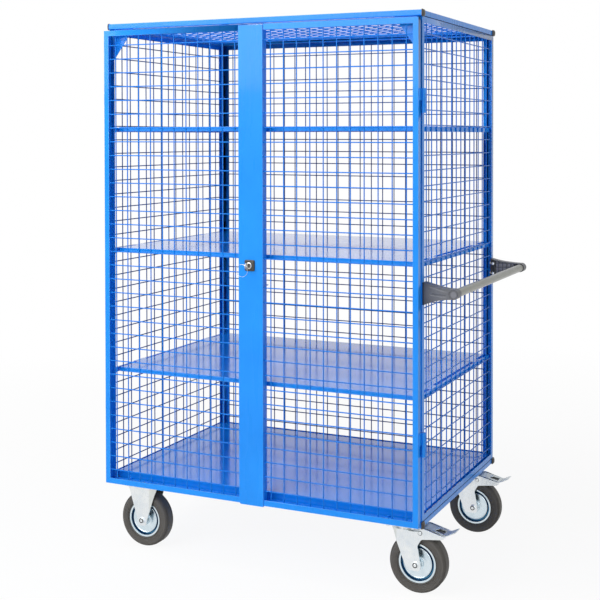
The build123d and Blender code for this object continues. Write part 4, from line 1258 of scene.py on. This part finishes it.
def arm_insert(end):
    """Black block in the foot of an arm, seen from the other arm, with its two screws."""
    rings = []
    for y, grow in ((66.0, 0.0), (68.7, 0.0), (69.2, -0.5)):
        ring = soft_outline(INSERT_HALF + grow, FOOT_HALF + grow, 12)
        rings.append([on_arm(end, (INSERT_X + u, y, ARM_MIDDLE + v)) for u, v in ring])
    block = lofted(rings, [BLACK], 40)
    screws = []
    for rise in (-SCREW_RISE, SCREW_RISE):
        screws.append(on_arm(end, (INSERT_X, SCREW_SEAT, ARM_MIDDLE + rise)))
    outward = TO_REAR if end == "front" else TO_FRONT
    return together(block, fasteners(screws, ARM_SCREW, outward, ZINC))


def tube_seal(end):
    """Black ring where the tube leaves an arm."""
    seal = [(14.05, -0.6), (16.1, -0.6), (16.3, 0.3), (16.1, 1.8), (14.05, 2.0)]
    centre = on_arm(end, (HANDLE_X, BOSS_FRONT + BOSS_LENGTH, HANDLE_Z))
    return turned(faced(seal, FACING[end]), at(*centre), 40, [BLACK])


def dressed_arm(end, node):
    """An arm with its hollows, groove and disc carved, the disc and the broken edges a lighter grey as
    a painted highlight, and its floor.
    """
    tools = together(scoop(end, *LOW_SCOOP), scoop(end, *HIGH_SCOOP), *end_rings(end))
    shape = carved(merged(node), tools)
    shade(shape, False, CARVED_LIMIT)
    sunk = at(*on_arm(end, (HANDLE_X, BOSS_FRONT + DISC_DEPTH, HANDLE_Z)))
    for face in shape.faces:
        face.material_index = 1 if (face.calc_center_median() - sunk).length < 1.0 * MM else 0
    arm = bevelled(node + "_carved", shape, [ARM_GREY, ARM_HIGHLIGHT_GREY], ARM_ROUND)
    return together(arm, arm_floor(end))


def dress_handle():
    for end in ("front", "rear"):
        node = f"{end}_handle_arm"
        stand_in(node, "_dressed", dressed_arm(end, node))
        new_piece(f"{end}_arm_insert", arm_insert(end), body_of(node), "black_plastic")
        new_piece(f"{end}_tube_seal", tube_seal(end), body_of(node), "black_plastic")
    rounded("handle_pads", [BLACK], SHEET_EDGE)
    rounded("handle_screws", [ZINC], ARM_ROUND)
    in_one_finish(cad["handle_tube"].data, TUBE_GREY)


# Lock


def escutcheon_shell():
    """Square lock plate: bevelled rim round a sunk face."""
    steps = ((-3.0, 19.0, 10), (-6.2, 19.0, 10), (-8.0, 17.7, 9), (-9.0, 16.2, 9), (-9.0, 15.0, 9))
    steps += ((-8.2, 14.2, 9), (-8.2, 2.0, 3))
    rings = []
    for y, half, power in steps:
        ring = soft_outline(half, half, power, 48)
        rings.append([(LOCK[0] + u, y, LOCK[1] + v) for u, v in ring])
    return lofted(rings, [PLUG_DARK, LOCK_FACE], 35, [0, 0, 0, 0, 0, 1])


def lock_barrel():
    """Bright collar in front of the plate, and the dark barrel through it."""
    profile = [(11.5, -8.2), (11.5, -11.0), (10.7, -12.5), (9.4, -13.0), (7.8, -13.0), (7.0, -12.4)]
    profile += [(6.7, -11.0), (6.7, 28.9), (9.6, 28.9), (10.0, 28.5), (10.0, -8.2)]
    bands = [0, 0, 0, 0, 0, 0, 1, 1, 1, 1, 1]
    return turned(profile, at(LOCK[0], 0, LOCK[1]), 48, [NICKEL, DARK_STEEL], bands)


def split_ring():
    """Two turns of round wire, one beside the other, where the ring node is."""
    low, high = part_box("key_ring")
    middle = (Vector(low) + Vector(high)) / 2
    wire_radius, clear, drift = 0.5 * MM, 0.55 * MM, 1.2 * MM
    reach = (high[0] - low[0]) / 2 - clear
    around, sides = 72, 8
    steps = 2 * around
    rings = []
    for step in range(steps + 1):
        turn = 2 * pi * step / around
        out = Vector((cos(turn), 0, sin(turn)))
        core = middle + out * reach + Vector((0, (step / steps - 0.5) * drift, 0))
        ring = []
        for roll in turns(sides):
            across = out * cos(roll) + Vector((0, sin(roll), 0))
            ring.append(core + across * wire_radius)
        rings.append(ring)
    return shell("split_ring", rings, [NICKEL], 60)


def dress_lock():
    nut_seat = -1.0
    nut = fasteners([(LOCK[0], nut_seat, LOCK[1])], LOCK_NUT, TO_REAR, DARK_STEEL)
    stand_in("lock_housing", "_dressed", together(escutcheon_shell(), lock_barrel(), nut))
    rounded("lock_cam", [DARK_STEEL], LOCK_EDGE)
    rounded("lock_key", [NICKEL], LOCK_EDGE)
    stand_in("key_ring", "_wound", split_ring())
    for node in ("upper_lock_rod", "lower_lock_rod"):
        in_one_finish(cad[node].data, ZINC)


dress_meshes()
dress_wheels()
dress_frames()
dress_shade_strips()
dress_welds()
dress_casters()
dress_handle()
dress_lock()


# Studio


def unlit_share(tree):
    """1 for rays that should see a plain white surround: camera, mirror and glass rays."""
    rays = tree.nodes.new("ShaderNodeLightPath").outputs
    seen = calc(tree, "MAXIMUM", rays["Is Camera Ray"], rays["Is Glossy Ray"])
    return calc(tree, "MAXIMUM", seen, rays["Is Transmission Ray"])


def surround():
    """White world that lights the trolley only dimly."""
    world = bpy.data.worlds.new("studio")
    bpy.context.scene.world = world
    world.use_nodes = True
    tree = world.node_tree
    dim = 0.25
    strength = spread(tree, unlit_share(tree), 0, 1, dim, 1.0)
    connect(tree, tree.nodes["Background"], {"Color": (1, 1, 1, 1), "Strength": strength})


def pale_floor():
    """Wide white floor that takes a soft shadow near the trolley."""
    plane = bpy.data.meshes.new("floor")
    reach = 30.0
    corners = [(-reach, -reach, 0), (reach, -reach, 0), (reach, reach, 0), (-reach, reach, 0)]
    plane.from_pydata(corners, [], [(0, 1, 2, 3)])
    floor = linked("floor", plane)
    material = bpy.data.materials.new("pale floor")
    material.use_nodes = True
    tree = material.node_tree
    tree.nodes.remove(tree.nodes["Principled BSDF"])
    matt = add_node(tree, "ShaderNodeBsdfDiffuse", {"Color": (0.9, 0.9, 0.9, 1)})
    glow = add_node(tree, "ShaderNodeEmission", {"Color": (1, 1, 1, 1), "Strength": 1.0})
    place = tree.nodes.new("ShaderNodeTexCoord").outputs["Object"]
    away = add_node(tree, "ShaderNodeVectorMath", {0: place}, operation="LENGTH").outputs["Value"]
    near, far, glow_near = 1.2, 4.0, 0.92
    share = calc(tree, "MULTIPLY", unlit_share(tree), spread(tree, away, near, far, glow_near, 1.0))
    inputs = {0: share, 1: matt.outputs[0], 2: glow.outputs[0]}
    mixed = add_node(tree, "ShaderNodeMixShader", inputs)
    connect(tree, tree.nodes["Material Output"], {"Surface": mixed.outputs[0]})
    plane.materials.append(material)


def softbox(name, place, target, size, power):
    lamp = bpy.data.lights.new(name, "AREA")
    lamp.shape = "RECTANGLE"
    lamp.size, lamp.size_y = size
    lamp.energy = power
    lit = linked(name, lamp)
    lit.location = place
    aim = Vector(target) - Vector(place)
    lit.rotation_euler = aim.to_track_quat("-Z", "Y").to_euler()


def photograph():
    """Camera at the photograph's place: its position, turn, tilt, focal length and shift."""
    lens = bpy.data.cameras.new("camera")
    lens.sensor_width = 36.0
    pixels = 600.0
    focal, centre_x, centre_y = 1085.23, 390.0, 155.37
    tilt, turn = 0.0178, 0.3965
    lens.lens = focal / pixels * lens.sensor_width
    lens.shift_x = (pixels / 2 - centre_x) / pixels
    lens.shift_y = (centre_y - pixels / 2) / pixels
    lens.clip_end = 200.0
    camera = linked("camera", lens)
    camera.location = at(1878.17, -3253.35, 1510.95)
    camera.rotation_euler = (pi / 2 - tilt, 0.0, turn)
    bpy.context.scene.camera = camera


bpy.context.scene.view_settings.view_transform = "Standard"
surround()
pale_floor()
softbox("front softbox", (-1.6, -3.3, 3.1), (0, 0, 1.3), (3.6, 2.8), 132)
softbox("side softbox", (4.6, -0.6, 2.6), (0, 0, 1.0), (2.4, 2.4), 24)
softbox("fill softbox", (2.6, -3.8, 1.6), (0.4, 0, 0.9), (2.0, 2.0), 18)
softbox("overhead softbox", (-0.9, -0.8, 4.6), (0, 0, 1.0), (2.4, 2.4), 60)
photograph()
